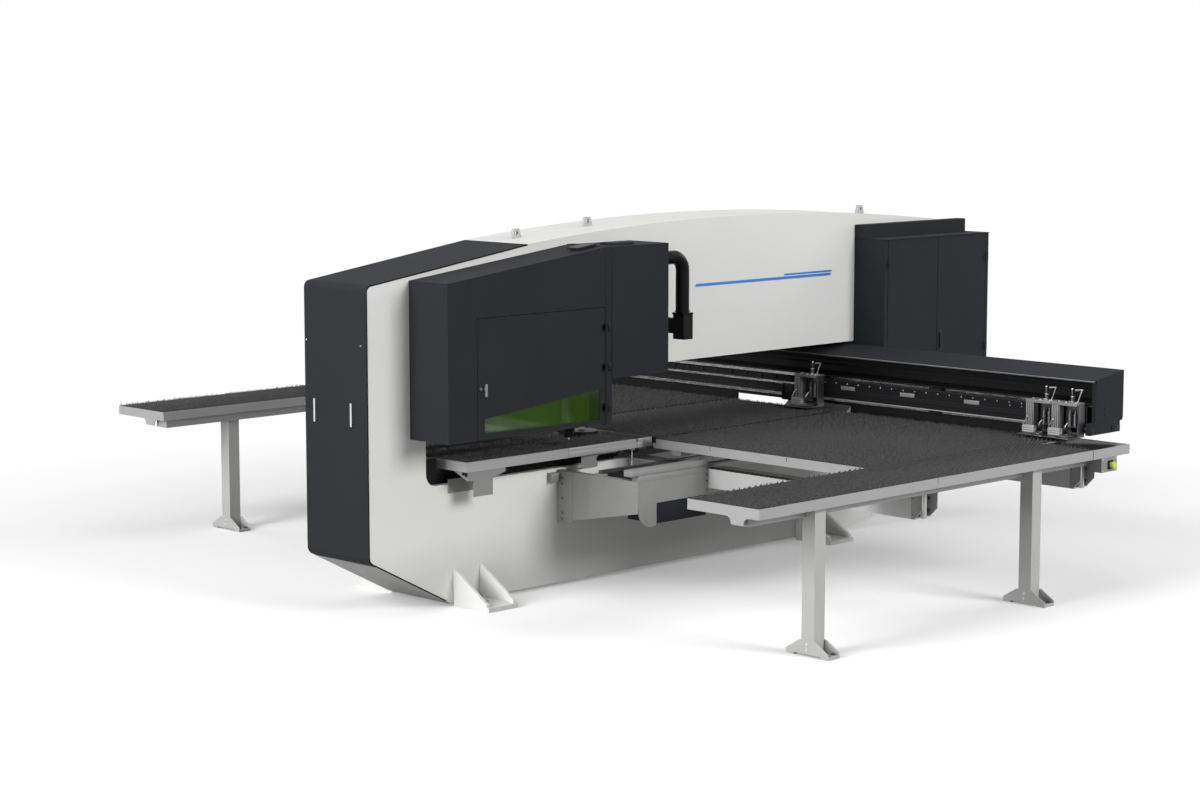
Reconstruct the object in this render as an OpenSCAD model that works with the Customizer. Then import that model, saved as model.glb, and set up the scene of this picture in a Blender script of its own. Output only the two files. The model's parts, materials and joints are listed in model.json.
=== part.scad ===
// Punch and laser combination machine for sheet metal.
// Millimetres, Z up, floor at Z = 0, origin at the centre of the four anchor holes.
// X runs across the frame along the feed beam, Y runs along the frame to the back.

/* [Frame] */
// outside width over the two side plates
frame_w = 608; // [580:4:680]
// thickness of each side plate
plate_t = 40; // [30:1:50]
// height of the top of the arch
frame_h = 2402; // [2380:2:2480]
// height of the top edge at the front end
nose_h = 2100; // [2060:2:2130]
// clear height of the throat
throat_h = 625; // [620:1:650]
// anchor hole spacing across the frame
anchor_x = 1000; // [940:4:1060]
// anchor hole spacing along the frame
anchor_y = 3350; // [3200:10:3450]
// diameter of the anchor holes
anchor_d = 26; // [18:1:34]

/* [Tables] */
// height of the table rims above the floor
table_h = 950; // [920:1:980]
// height of the table rims
rim_h = 63; // [56:1:66]
// width of each outer table
outer_w = 560; // [550:2:640]
// width of the right moving table
move_w = 1841; // [1800:1:1844]
// width of the square legs
post_w = 96; // [80:1:110]
// length of the leg shoes
shoe_l = 326; // [280:2:380]

/* [Head] */
// depth of the head enclosure from the frame
head_d = 364; // [350:2:400]
// width of the enclosure door
door_w = 1122; // [1050:2:1140]
// height of the enclosure door
door_h = 765; // [740:1:790]
// diameter of the punch ram
ram_d = 120; // [100:1:140]
// diameter of the turning tool holder
tool_d = 200; // [180:1:210]

/* [Cabinet] */
// depth of the electrical cabinet body
cab_d = 270; // [250:2:320]
// height of the electrical cabinet
cab_h = 1730; // [1600:5:1750]

/* [Feed beam] */
// width of each clamp body
clamp_w = 96; // [80:1:96]
// thickness of the clamp carriage plate
carr_t = 20; // [14:1:22]

/* [Hidden] */
$fn = 48;
eps = 1;
gap = 0.3;
fit = 0.05;

// frame
hw = frame_w / 2;
xi = hw - plate_t;
sheet = 4;
yf = -2505;
ypf = yf + sheet;
yr = 3385;
ys = -1138;
z_bot = 22;
nose_y = -1834;
rear_y = 2100;
rear_rise = 272;
nose_z = 370;
nose_r = 60;
bend_r = 45;
arch_y = 950;
arch_r = 20500;
arch_n = 24;
arch_edge = yr - 55;
flange = 30;
py = -350;
rib_t = 20;
rib_pitch = 572;
rib_low = nose_y + 83;
rib_clear = 280;
rib_up = py + rib_clear;
rib_up_n = floor((yr - flange - 2 * rib_t - rib_up) / rib_pitch);
tf = table_h - 155;
tc = tf + throat_h;
ty0 = -2027;
ty1 = 2245;
throat_r = 80;
notch_y = 260;
rib_low_n = floor((ty1 - notch_y - rib_t - rib_low) / rib_pitch);
notch_z = 205;
function arch_z(y) = frame_h - (y - arch_y) * (y - arch_y) / (2 * arch_r);
zs = arch_z(ys);
function slope_z(y) = nose_h + (y - yf) * (zs - nose_h) / (ys - yf);
bend_y = yf + bend_r;
bend_z = slope_z(bend_y) - bend_r;
function arc(cy, cz, r, a0, a1, n) =
  [for (i = [0:n]) [cy + r * cos(a0 + (a1 - a0) * i / n), cz + r * sin(a0 + (a1 - a0) * i / n)]];
arch_pts = [for (i = [0:arch_n]) let (y = arch_edge + (ys - arch_edge) * i / arch_n) [y, arch_z(y)]];
arch_step = (arch_edge - ys) / arch_n;
function facet_z(y) =
  let (k = (arch_edge - y) / arch_step, i = floor(k), ya = arch_edge - i * arch_step)
  arch_z(ya) * (1 - k + i) + arch_z(ya - arch_step) * (k - i);
arch_low = [for (i = [0:arch_n]) let (y = ys + (arch_edge - ys) * i / arch_n) [y, arch_z(y) - flange]];
corner_r = 55;
corner_z = arch_z(arch_edge) - corner_r;

// lower bend of the front end: slope of the nose, bend centre and the cover's tail
nose_a = atan((nose_z - z_bot) / (nose_y - ypf));
nose_turn = 90 - nose_a;
nose_in = nose_r - sheet;
nose_cy = ypf + nose_in;
nose_cz = nose_z + nose_in * tan(nose_turn / 2);
nose_end = 180 + nose_turn;
tail_l = 30;
function nose_pt(r, l) =
  [nose_cy + r * cos(nose_end) + l * cos(nose_a), nose_cz + r * sin(nose_end) - l * sin(nose_a)];

// head enclosure
ex1 = hw + head_d;
ey0 = -2157;
ey1 = -781;
ez0 = table_h + 165;
ezf = nose_h + 16;
ezr = frame_h - 125;
dy1 = -790;
dy0 = dy1 - door_w;
dz0 = ez0 + 3;
dz1 = dz0 + door_h;
door_t = 20;
pil_y1 = -726;
pil_w = 60;
tall_y1 = -191;
tall_z0 = tc - 10;
hinge_r = 7;
pin_r = 4;
leaf_t = 3;
leaf_w = 24;
leaf_h = 60;
knuckle_h = 20;
hinge_out = hinge_r + gap;
door_hy = -784;
door_hz = [ez0 + 113, ez0 + 377, ez0 + 639];
latch_y = dy0 + 64;
latch_z = ez0 + 325;
latch_r = 6;

// cabinet
cx1 = hw + cab_d;
cy0 = 2180;
cy1 = 3429;
cz1 = frame_h - 222;
cz0 = cz1 - cab_h;
stile = 34;
cab_mid = (cy0 + cy1) / 2;
cab_fx = cx1 + door_t + 1;
cab_hz = [cz0 + 180, (cz0 + cz1) / 2, cz1 - 180];
cab_hya = cy0 + stile + 1;
cab_hyb = cy1 - stile - 1;
handle_y = cab_mid + 40;
handle_z = cz0 + 990;

// tables
zr = table_h - rim_h;
rim_t = 8;
brush_deep = 20;
brush_up = 18;
brush_top = table_h + brush_up;
beam_h = 57;
zbm = zr - beam_h;
ox_l = -3446;
oy_r = -1843;
oy_l = -1768;
seam_y = 1434;
btn_y = seam_y + 196;
btn_z = zr - 51;
oy1 = 1853;
leg_x = 466;
under_w = 121;
under_r = 319;
under_l = leg_x - post_w / 2;
foot_x0 = 341;
foot_x1 = 439;
foot_r = 38;
foot_h = 45;
legs_r = [oy_r + 588, oy1 - 971];
legs_l = [oy_l + 663, oy1 - 971];
mx_r = 554;
side_gap = 6;
ox_r = mx_r + move_w + side_gap;
mx_l = ox_l + outer_w + side_gap;
my0 = -215;
my1 = 1735;
sx0 = 130;
sx1 = 475;
sy0 = -1835;
sy1 = -293;
hop_l = 345;
hop_w = 133;
hop_z = zr - 58;
plate_s = 6;
flap_x = 315;
flap_y0 = -931;
flap_hx = 322;
flap_hz = zr - hinge_r - gap;
centre_x = 500;
centre_y0 = -140;

// supports under the tables
arm_z1 = zbm - 30;
arm_z0 = arm_z1 - 128;
arm_y = [my0 + 8, my1 - 265];
arm_w = 157;
arm_end = 86;
arm_cut = 62;
arm_xr = ox_r + 441;
arm_xl = ox_l + 426;
arm_wall = 6;
web_x = 1055;
web_y = -879;
web_t = 8;
web_top = arm_z1 - 20;
web_z0 = web_top - 349;
web_z1 = web_top - 205;
rail_w = 30;
rail_h = 22;
rail_z1 = arm_z1 + rail_h;
rails_in = 705;
rail_in_r = 145;
rail_in_l = 130;
rail_out_r = mx_r + move_w - rail_in_r;
rail_out_l = -mx_l - rail_in_l;
rail_y0 = -870;
by0 = 1850;
rail_y1 = by0;
sub_z0 = zr - 42;
sub_w = 90;

// feed beam
bx0 = ox_l + 261;
bx1 = ox_r + 299;
end_t = 35;
bz0 = table_h + 35;
bz1 = bz0 + 75;
bz2 = bz0 + 205;
by1 = 2120;
box_y0 = 1895;
box_y1 = 2130;
back_y = 2155;
lip_y = 1815;
lip_z = bz0 + 367;
lid_z = bz0 + 417;
lid_t = 6;
xr_up = bz0 + 175;
xr_lo = bz0 + 27;
xrail = 20;
carr_x0 = 100;
carr_x1 = bx1 - 55;
carr_y1 = 1815;
carr_y0 = carr_y1 - carr_t;
carr_z0 = xr_lo + 23;
carr_z1 = bz0 + 190;
trail_y = carr_y0 - 10;
clamps = [carr_x0 + 115, carr_x1 - 355, carr_x1 - 145];
cl_back = trail_y - gap;
cl_top = bz0 + 203;
cl_z = table_h + 78;
cl_x0 = -58;
cl_x1 = 145;
jaw_z0 = brush_top + 3;
jaw_z1 = jaw_z0 + 8;
jaw_hy = cl_back - 40;
jaw_hz = jaw_z1 + 17;
jaw_x0 = clamp_w / 2 - 8;

// punch and laser
ram_r = ram_d / 2;
tool_r = tool_d / 2;
cyl_r = ram_r + 90;
cyl_clear = 280;
cyl_h = arch_z(py) - 2 * flange - tc - cyl_clear;
ram_z0 = table_h + 230;
tip_z = table_h + 35;
bed_z1 = table_h - 45;
die_r = tool_r + 10;
neck_r = 30;
shaft_r = 50;
ly = -880;
lx = hw + 115;

// underside of the frame, which rises behind rear_y
function belly_z(y) = z_bot + max(0, y - rear_y) * rear_rise / (yr - rear_y);
// foot of an upper rib at place y: the throat's ceiling, or the belly behind the throat
function rib_foot(rib, y) = rib < ty1 ? tc : belly_z(y) + flange;

module bx(x0, x1, y0, y1, z0, z1) {
  translate([x0, y0, z0]) cube([x1 - x0, y1 - y0, z1 - z0]);
}
module yz(x0, x1) {
  translate([x0, 0, 0]) rotate([90, 0, 90]) linear_extrude(x1 - x0) children();
}
module xz(y0, y1) {
  translate([0, y1, 0]) rotate([90, 0, 0]) linear_extrude(y1 - y0) children();
}
module rod_z(x, y, r, z0, z1) {
  translate([x, y, z0]) cylinder(r = r, h = z1 - z0);
}
module rod_x(y, z, r, x0, x1) {
  translate([x0, y, z]) rotate([0, 90, 0]) cylinder(r = r, h = x1 - x0);
}
module rod_y(x, z, r, y0, y1) {
  translate([x, y1, z]) rotate([90, 0, 0]) cylinder(r = r, h = y1 - y0);
}

// one side plate with the throat cut through it
module side_plate(x0) {
  yz(x0, x0 + plate_t) difference() {
    polygon(concat(
      arc(nose_cy, nose_cz, nose_in, 180, nose_end, 6),
      [[nose_y, z_bot], [rear_y, z_bot], [yr, belly_z(yr)]],
      arc(yr - corner_r, corner_z, corner_r, 0, 90, 6),
      arch_pts,
      [[ys, zs - sheet]],
      arc(bend_y, bend_z, bend_r - sheet, 90, 180, 6)));
    polygon(concat(
      arc(ty0 + throat_r, tf + throat_r, throat_r, 180, 270, 6),
      [[ty1 - notch_y, tf], [ty1, tf + notch_z], [ty1, tc]],
      arc(ty0 + throat_r, tc - throat_r, throat_r, 90, 180, 6)));
  }
}
module side_plate_right() { color([0.83, 0.83, 0.81]) side_plate(xi); }
module side_plate_left() { color([0.83, 0.83, 0.81]) side_plate(-hw); }

module lower_box() {
  color([0.80, 0.80, 0.78]) {
    yz(-xi, xi) polygon([[nose_y + 60, z_bot], [rear_y, z_bot], [yr - flange, belly_z(yr - flange)],
      [yr - flange, belly_z(yr - flange) + flange], [rear_y, z_bot + flange], [nose_y + 60, z_bot + flange]]);
    bx(-xi, xi, ty0 - flange, ty1 - notch_y, tf - flange, tf);
    yz(-xi, xi) polygon([[ty1 - notch_y, tf], [ty1 - notch_y, tf - flange],
      [ty1 + flange, tf + notch_z - flange], [ty1 + flange, tf + notch_z], [ty1, tf + notch_z]]);
    for (i = [0:rib_low_n], y = rib_low + i * rib_pitch)
      bx(-xi, xi, y, y + rib_t, z_bot + flange, tf - flange);
    bx(-xi, xi, ty1 + 5, ty1 + 5 + rib_t, belly_z(ty1) + flange / 2, tf + notch_z - flange - 15);
  }
}

module upper_box() {
  color([0.80, 0.80, 0.78]) difference() {
    union() {
      bx(-xi, xi, ty0 - flange, ty1 + flange, tc, tc + flange);
      yz(-xi, xi) polygon(concat(arc(yr - corner_r, corner_z, corner_r, 0, 90, 6), arch_pts, arch_low,
        arc(yr - corner_r, corner_z, corner_r - flange, 90, 0, 6)));
      bx(-xi, xi, yr - flange, yr, belly_z(yr), corner_z);
      bx(-xi, xi, ty0 - flange, ty0, tf, tc);
      bx(-xi, xi, ty1, ty1 + flange, tf + notch_z, tc);
      for (y = concat([ys, py - rib_clear - rib_t], [for (i = [0:rib_up_n]) rib_up + i * rib_pitch]))
        yz(-xi, xi) polygon([[y, rib_foot(y, y)], [y + rib_t, rib_foot(y, y + rib_t)],
          [y + rib_t, arch_z(y + rib_t) - flange + eps], [y, arch_z(y) - flange + eps]]);
    }
    rod_z(0, py, ram_r + 5, tc - eps, tc + flange + eps);
  }
}

module foot(sx, sy) {
  foot_l = anchor_x / 2 + 140 - hw;
  foot_w = 254;
  translate([0, sy * anchor_y / 2, 0]) mirror([sx > 0 ? 0 : 1, 0, 0]) {
    difference() {
      bx(hw, hw + foot_l, -foot_w / 2, foot_w / 2, 0, 30);
      rod_z(anchor_x / 2, 0, anchor_d / 2, -eps, 31);
    }
    for (y = [-foot_w / 2, foot_w / 2 - 25])
      xz(y, y + 25) polygon([[hw, 30], [hw + foot_l - 20, 30], [hw + foot_l - 20, 48], [hw, 243]]);
  }
}
module frame_feet() {
  color([0.83, 0.83, 0.81])
    for (sx = [-1, 1], sy = [-1, 1]) foot(sx, sy);
}

module front_cover() {
  color([0.25, 0.25, 0.27]) yz(-hw, hw)
    polygon(concat([nose_pt(nose_r, tail_l)],
      arc(nose_cy, nose_cz, nose_r, nose_end, 180, 6),
      arc(bend_y, bend_z, bend_r, 180, 90, 6),
      arc(bend_y, bend_z, bend_r - sheet, 90, 180, 6),
      arc(nose_cy, nose_cz, nose_in, 180, nose_end, 6),
      [nose_pt(nose_in, tail_l)]));
}
module top_cover() {
  y0 = bend_y + 2;
  y1 = ys - 2;
  color([0.22, 0.22, 0.24]) yz(-hw, hw)
    polygon([[y0, slope_z(y0)], [y0, slope_z(y0) - sheet], [y1, slope_z(y1) - sheet], [y1, slope_z(y1)]]);
}
module nose_plate() {
  off = [sheet * cos(nose_end), sheet * sin(nose_end)];
  color([0.55, 0.55, 0.55]) yz(-hw, hw)
    polygon([nose_pt(nose_in, tail_l + 2), nose_pt(nose_r, tail_l + 2), [nose_y, z_bot] + off, [nose_y, z_bot]]);
}
module grip_strips() {
  color([0.85, 0.85, 0.86])
    for (x = [-201, 160]) bx(x - 8, x + 8, yf - 12, yf, 1216, 1363);
}
module lifting_lugs() {
  color([0.83, 0.83, 0.81])
    for (y = [-960, -300, 2600]) {
      y0 = y - 45;
      y1 = y + 45;
      z1 = arch_z(y) + 62;
      difference() {
        yz(-10, 10) polygon(concat([[y0, facet_z(y0)]],
          [for (i = [arch_n:-1:0]) let (yv = arch_edge - i * arch_step) if (yv > y0 && yv < y1) [yv, arch_z(yv)]],
          [[y1, facet_z(y1)], [y1 - 20, z1], [y0 + 20, z1]]));
        rod_x(y, z1 - 28, 14, -11, 11);
      }
    }
}

module head_enclosure() {
  color([0.24, 0.24, 0.26]) difference() {
    yz(hw, ex1) polygon([[ey0, ez0], [ey1, ez0], [ey1, ezr], [ey0, ezf]]);
    yz(hw - eps, ex1 - sheet)
      polygon([[ey0 + sheet, ez0 - eps], [ey1 - sheet, ez0 - eps], [ey1 - sheet, ezr - sheet - 1], [ey0 + sheet, ezf - sheet]]);
    bx(ex1 - door_t - 2, ex1 + eps, dy0 - 3, dy1 + 3, ez0 - eps, dz1 + 3);
  }
}
module tall_cover() {
  color([0.24, 0.24, 0.26]) {
    difference() {
      bx(hw, ex1, pil_y1, tall_y1, tall_z0, ezr);
      bx(hw - eps, ex1 - sheet, pil_y1 + sheet, tall_y1 - sheet, tall_z0 + sheet, ezr - sheet);
    }
    bx(ex1 - pil_w, ex1, ey1, pil_y1, ez0 - 5, ezr + 3);
    bx(hw, ex1 - pil_w, ey1, pil_y1, ezr - 40, ezr + 3);
    bx(ex1 - 200, ex1 - pil_w, -640, -460, ezr, ezr + 15);
  }
}
module conduit() {
  cx = hw + 241;
  cyv = 80;
  tr = 37;
  br = 100;
  zt = ezr - 112;
  zb = zt - 385;
  color([0.05, 0.05, 0.05]) {
    rod_y(cx, zt, tr, tall_y1, cyv - br);
    translate([cx, cyv - br, zt - br]) rotate([0, -90, 0])
      rotate_extrude(angle = 90, $fn = 64) translate([br, 0]) circle(r = tr);
    rod_z(cx, cyv, tr, zb, zt - br);
    bx(cx - 50, cx + 50, cyv - 45, cyv + 45, zb - 175, zb);
    bx(hw, cx - 50, cyv - 30, cyv + 30, zb - 140, zb - 40);
  }
}

// fixed half of a knuckle hinge: leaf on the side that stays, pin and middle knuckle
module hinge_fixed(x, y, z, side) {
  translate([x, y, z]) mirror([0, side > 0 ? 0 : 1, 0]) {
    bx(0, leaf_t, hinge_r + 1, hinge_r + 1 + leaf_w, -leaf_h / 2, leaf_h / 2);
    difference() {
      bx(0, leaf_t, 0, hinge_r + 2, -knuckle_h / 2, knuckle_h / 2);
      rod_z(hinge_out, 0, pin_r, -leaf_h, leaf_h);
    }
    rod_z(hinge_out, 0, hinge_r, -knuckle_h / 2, knuckle_h / 2);
    rod_z(hinge_out, 0, pin_r, -leaf_h / 2, leaf_h / 2);
  }
}
// moving half of a knuckle hinge: leaf with the two outer knuckles
module hinge_moving(x, y, z, side) {
  translate([x, y, z]) mirror([0, side > 0 ? 1 : 0, 0]) difference() {
    union() {
      bx(0, leaf_t, hinge_r + 1, hinge_r + 1 + leaf_w, -leaf_h / 2, leaf_h / 2);
      for (s = [-1, 1]) {
        z0 = s > 0 ? knuckle_h / 2 + gap : -leaf_h / 2;
        z1 = s > 0 ? leaf_h / 2 : -knuckle_h / 2 - gap;
        bx(gap, leaf_t, 0, hinge_r + 2, z0, z1);
        rod_z(hinge_out, 0, hinge_r, z0, z1);
      }
    }
    rod_z(hinge_out, 0, pin_r + fit, -leaf_h, leaf_h);
  }
}
module hinge_leaves() {
  color([0.12, 0.12, 0.12]) {
    for (z = door_hz) hinge_fixed(ex1, door_hy, z, 1);
    for (z = cab_hz) {
      hinge_fixed(cab_fx, cab_hya, z, -1);
      hinge_fixed(cab_fx, cab_hyb, z, 1);
    }
  }
}
win = [[dy0 + 59, ez0 + 44], [dy1 - 44, ez0 + 35], [dy1 - 44, ez0 + 237], [dy0 + 59, ez0 + 135]];
module door() {
  color([0.24, 0.24, 0.26]) {
    difference() {
      union() {
        difference() {
          bx(ex1 - door_t, ex1, dy0, dy1, dz0, dz1);
          bx(ex1 - door_t - eps, ex1 - sheet, dy0 + sheet, dy1 - sheet, dz0 + sheet, dz1 - sheet);
        }
        rod_x(latch_y, latch_z, 15, ex1 - sheet, ex1 + 6);
      }
      yz(ex1 - door_t, ex1 + eps) polygon(win);
      rod_x(latch_y, latch_z, latch_r + fit, ex1 - door_t, ex1 + 7);
    }
    for (z = door_hz) hinge_moving(ex1, door_hy, z, 1);
  }
}
module door_window() {
  color([0.16, 0.30, 0.08]) yz(ex1 - sheet - 6, ex1 - sheet)
    polygon([win[0] + [-15, -15], win[1] + [15, -15], win[2] + [15, 15], win[3] + [-15, 15]]);
}
module latch_lever() {
  color([0.75, 0.75, 0.77]) {
    rod_x(latch_y, latch_z, latch_r, ex1 - 14, ex1 + 16);
    rod_x(latch_y, latch_z, 11, ex1 + 6 + gap, ex1 + 12);
    bx(ex1 + 6 + gap, ex1 + 14, latch_y - 8, latch_y + 8, latch_z - 48, latch_z + 30);
  }
}

module cabinet() {
  color([0.24, 0.24, 0.26]) {
    difference() {
      bx(hw, cab_fx, cy0, cy1, cz0, cz1);
      bx(hw + sheet, cab_fx + eps, cy0 + stile, cy1 - stile, cz0 + sheet, cz1 - sheet);
      bx(hw + sheet, cx1 - 15, cy0 + sheet, cy1 - sheet, cz0 + sheet, cz1 - sheet);
      bx(cx1, cab_fx + eps, cy0 + stile, cy1 - stile, cz0 - eps, cz1 + eps);
    }
    bx(hw, cab_fx + 8, cy0 - 4, cy1 + 4, cz1, cz1 + sheet);
  }
}
module cabinet_header() {
  color([0.24, 0.24, 0.26]) bx(hw, hw + 81, cy0, cy1 - 20, cz1 + sheet, cz1 + sheet + 98);
}
module panel_plate() {
  color([0.78, 0.78, 0.74]) {
    for (y = [cy0 + 150, cy1 - 190], z = [cz0 + 120, cz1 - 160])
      bx(hw + sheet, hw + sheet + 12, y, y + 40, z, z + 40);
    bx(hw + sheet + 12, hw + sheet + 16, cy0 + 90, cy1 - 90, cz0 + 80, cz1 - 80);
    for (i = [0:3])
      bx(hw + sheet + 16, hw + sheet + 150, cy0 + 150 + i * 250, cy0 + 330 + i * 250, cz1 - 700, cz1 - 200);
    for (z = [cz0 + 250, cz0 + 520])
      bx(hw + sheet + 16, hw + sheet + 100, cy0 + 150, cy1 - 150, z, z + 130);
  }
}
module cab_door(y0, y1, hy, side) {
  difference() {
    bx(cx1 + 1, cab_fx, y0, y1, cz0 + 2, cz1 - 2);
    bx(cx1, cab_fx - sheet, y0 + sheet, y1 - sheet, cz0 + 2 + sheet, cz1 - 2 - sheet);
  }
  for (z = cab_hz) hinge_moving(cab_fx, hy, z, side);
}
module cabinet_door_a() {
  color([0.24, 0.24, 0.26]) cab_door(cy0 + stile + 4, cab_mid - 2, cab_hya, -1);
}
module cabinet_door_b() {
  color([0.24, 0.24, 0.26]) difference() {
    union() {
      cab_door(cab_mid + 2, cy1 - stile - 4, cab_hyb, 1);
      rod_x(handle_y, handle_z, 15, cab_fx - sheet, cab_fx + 5);
    }
    rod_x(handle_y, handle_z, latch_r + fit, cx1, cab_fx + 6);
  }
}
module cabinet_handle() {
  color([0.06, 0.06, 0.06]) {
    rod_x(handle_y, handle_z, latch_r, cab_fx - 12, cab_fx + 14);
    bx(cab_fx + 5 + gap, cab_fx + 14, handle_y - 11, handle_y + 11, handle_z - 98, handle_z + 16);
  }
}

module punch_cylinder() {
  color([0.45, 0.46, 0.48]) difference() {
    union() {
      rod_z(0, py, cyl_r, tc + flange, tc + flange + cyl_h);
      rod_z(0, py, cyl_r + 25, tc + flange, tc + flange + 40);
      bx(-120, 120, py + 80, py + 230, tc + flange + 60, tc + flange + cyl_h - 60);
    }
    rod_z(0, py, ram_r + fit, tc, tc + flange + cyl_h - 60);
  }
}
module punch_ram() {
  color([0.80, 0.80, 0.82]) difference() {
    rod_z(0, py, ram_r, ram_z0, tc + flange + cyl_h - 100);
    rod_z(0, py, neck_r + fit, ram_z0 - eps, ram_z0 + 60);
  }
}
module tool_holder() {
  color([0.62, 0.62, 0.64]) {
    rod_z(0, py, neck_r, ram_z0 - gap, ram_z0 + 50);
    rod_z(0, py, tool_r, tip_z + 35, ram_z0 - gap);
    rod_z(0, py, 25, tip_z, tip_z + 35);
    bx(-8, 8, py - tool_r - 6, py, tip_z + 90, tip_z + 110);
  }
}
module die_bed() {
  color([0.45, 0.46, 0.48]) difference() {
    bx(-125, 125, py - 170, py + 170, tf, bed_z1);
    rod_z(0, py, shaft_r + fit, tf - eps, bed_z1 + eps);
  }
}
module die_holder() {
  color([0.62, 0.62, 0.64]) difference() {
    union() {
      rod_z(0, py, die_r, bed_z1 + gap, brush_top);
      rod_z(0, py, shaft_r, tf + 10, bed_z1 + gap);
    }
    rod_z(0, py, 26, tf, brush_top + eps);
    bx(-8, 8, py - die_r - eps, py - die_r + 6, bed_z1, brush_top + eps);
  }
}
module tool_motor() {
  color([0.10, 0.10, 0.11]) {
    bx(-70, 70, py - 390, py - 170, tf, tf + 78);
  }
}
module laser_slide() {
  color([0.62, 0.62, 0.64]) {
    bx(hw, hw + 30, ly - 80, ly + 80, ez0 + 135, ez0 + 785);
    for (y = [ly - 60, ly + 48]) bx(hw + 30, hw + 42, y, y + 12, ez0 + 145, ez0 + 775);
  }
}
module laser_head() {
  color([0.80, 0.80, 0.82]) {
    bx(hw + 42 + gap, hw + 185, ly - 65, ly + 65, ez0 + 185, ez0 + 535);
    rod_z(lx, ly, 42, ez0 + 20, ez0 + 185);
    rod_z(lx, ly, 30, ez0 - 40, ez0 + 20);
    translate([lx, ly, ez0 - 115]) cylinder(r1 = 6, r2 = 26, h = 75);
    rod_z(lx, ly, 25, ez0 + 535, ez0 + 600);
  }
}

module tray(x0, x1, y0, y1) {
  difference() {
    bx(x0, x1, y0, y1, zr, table_h);
    bx(x0 + rim_t, x1 - rim_t, y0 + rim_t, y1 - rim_t, table_h - brush_deep, table_h + eps);
  }
}
module brush_pad(x0, x1, y0, y1) {
  bx(x0 + rim_t, x1 - rim_t, y0 + rim_t, y1 - rim_t, table_h - brush_deep, brush_top);
}
module strip_tables() {
  color([0.66, 0.66, 0.66]) {
    tray(sx0, sx1, sy0, flap_y0 - 3);
    tray(sx0, flap_x - 3, flap_y0 - 3, sy1);
    tray(-sx1, -sx0, sy0, sy1);
    for (y = [flap_y0 + 40, sy1 - 70]) {
      rod_y(flap_hx, flap_hz, pin_r, y - 16, y + 46);
      bx(sx0 + 60, flap_hx, y - 16, y - 4, flap_hz - pin_r, flap_hz + pin_r);
      bx(sx0 + 60, flap_x - 15, y - 16, y - 4, flap_hz, zr);
    }
  }
}
module trap_flap() {
  color([0.66, 0.66, 0.66]) {
    tray(flap_x, sx1, flap_y0, sy1);
    brush_pad(flap_x, sx1, flap_y0, sy1);
    for (y = [flap_y0 + 40, sy1 - 70]) difference() {
      union() {
        rod_y(flap_hx, flap_hz, hinge_r, y, y + 46);
        bx(flap_hx - 5, flap_hx + 5, y, y + 46, flap_hz, zr + eps);
      }
      rod_y(flap_hx, flap_hz, pin_r + fit, y - eps, y + 47);
    }
  }
}
module strip_brackets() {
  color([0.60, 0.60, 0.60]) {
    for (s = [0, 1]) mirror([s, 0, 0]) {
      for (y = [sy0 + 135, sy0 + 735]) bx(sx0 + 20, xi - 20, y, y + 90, tf, zr);
      bx(sx0 + 20, xi - 24, sy1 - 347, sy1 - 247, tf, zr);
      intersection() {
        xz(sy0 + 4, sy0 + hop_l) polygon([[sx1 - hop_w, zr], [sx1, zr], [sx1, hop_z], [sx1 - 20, hop_z]]);
        yz(sx1 - hop_w, sx1) polygon([[sy0 + 4, zr], [sy0 + hop_l, zr], [sy0 + hop_l, zr - 22],
          [sy0 + hop_l - 119, hop_z], [sy0 + 21, hop_z]]);
      }
      bx(hw, hw + plate_s, sy0 - 9, sy0 + 205, hop_z - 93, hop_z - 3);
      bx(sx1 - plate_s, sx1, sy0 + 60, sy0 + 225, hop_z - 105, hop_z);
    }
  }
}
module centre_table() {
  color([0.66, 0.66, 0.66]) {
    tray(-centre_x, centre_x, centre_y0, my1);
    for (x = [-200, 120], i = [0:2], y = centre_y0 + 140 + i * 700) bx(x, x + 80, y, y + 80, tf, zr);
  }
}
module outer_table(x0, y0, y1, ux) {
  tray(x0, x0 + outer_w, y0, y1);
  xz(y0, y0 + rim_t) polygon(concat(
    arc(x0 + foot_x0 - foot_r, zr - foot_r, foot_r, 90, 0, 6),
    [[x0 + foot_x0, zr - foot_h], [x0 + foot_x1, zr - foot_h]],
    arc(x0 + foot_x1 + foot_r, zr - foot_r, foot_r, 180, 90, 6)));
  difference() {
    bx(x0 + ux, x0 + ux + under_w, y0 + 40, oy1 - 40, zbm, zr);
    leg_places() bx(-post_w / 2, post_w / 2, -post_w / 2, post_w / 2, zbm - eps, zr);
  }
}
module outer_table_right() { color([0.66, 0.66, 0.66]) outer_table(ox_r, oy_r, seam_y - 3, under_r); }
module outer_table_left() { color([0.66, 0.66, 0.66]) outer_table(ox_l, oy_l, oy1, under_l); }
module end_plate() {
  color([0.30, 0.30, 0.31]) difference() {
    bx(ox_r + 147, ox_r + outer_w, seam_y, oy1, zr, table_h);
    bx(ox_r + 155, ox_r + outer_w - rim_t, seam_y + rim_t, oy1 - rim_t, table_h - 6, table_h + eps);
  }
}
module leg_places() {
  for (y = legs_r) translate([ox_r + leg_x, y, 0]) children();
  for (y = legs_l) translate([ox_l + leg_x, y, 0]) children();
}
module table_legs() {
  color([0.70, 0.70, 0.70]) leg_places()
    bx(-post_w / 2, post_w / 2, -post_w / 2, post_w / 2, 20, zr);
}
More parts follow.
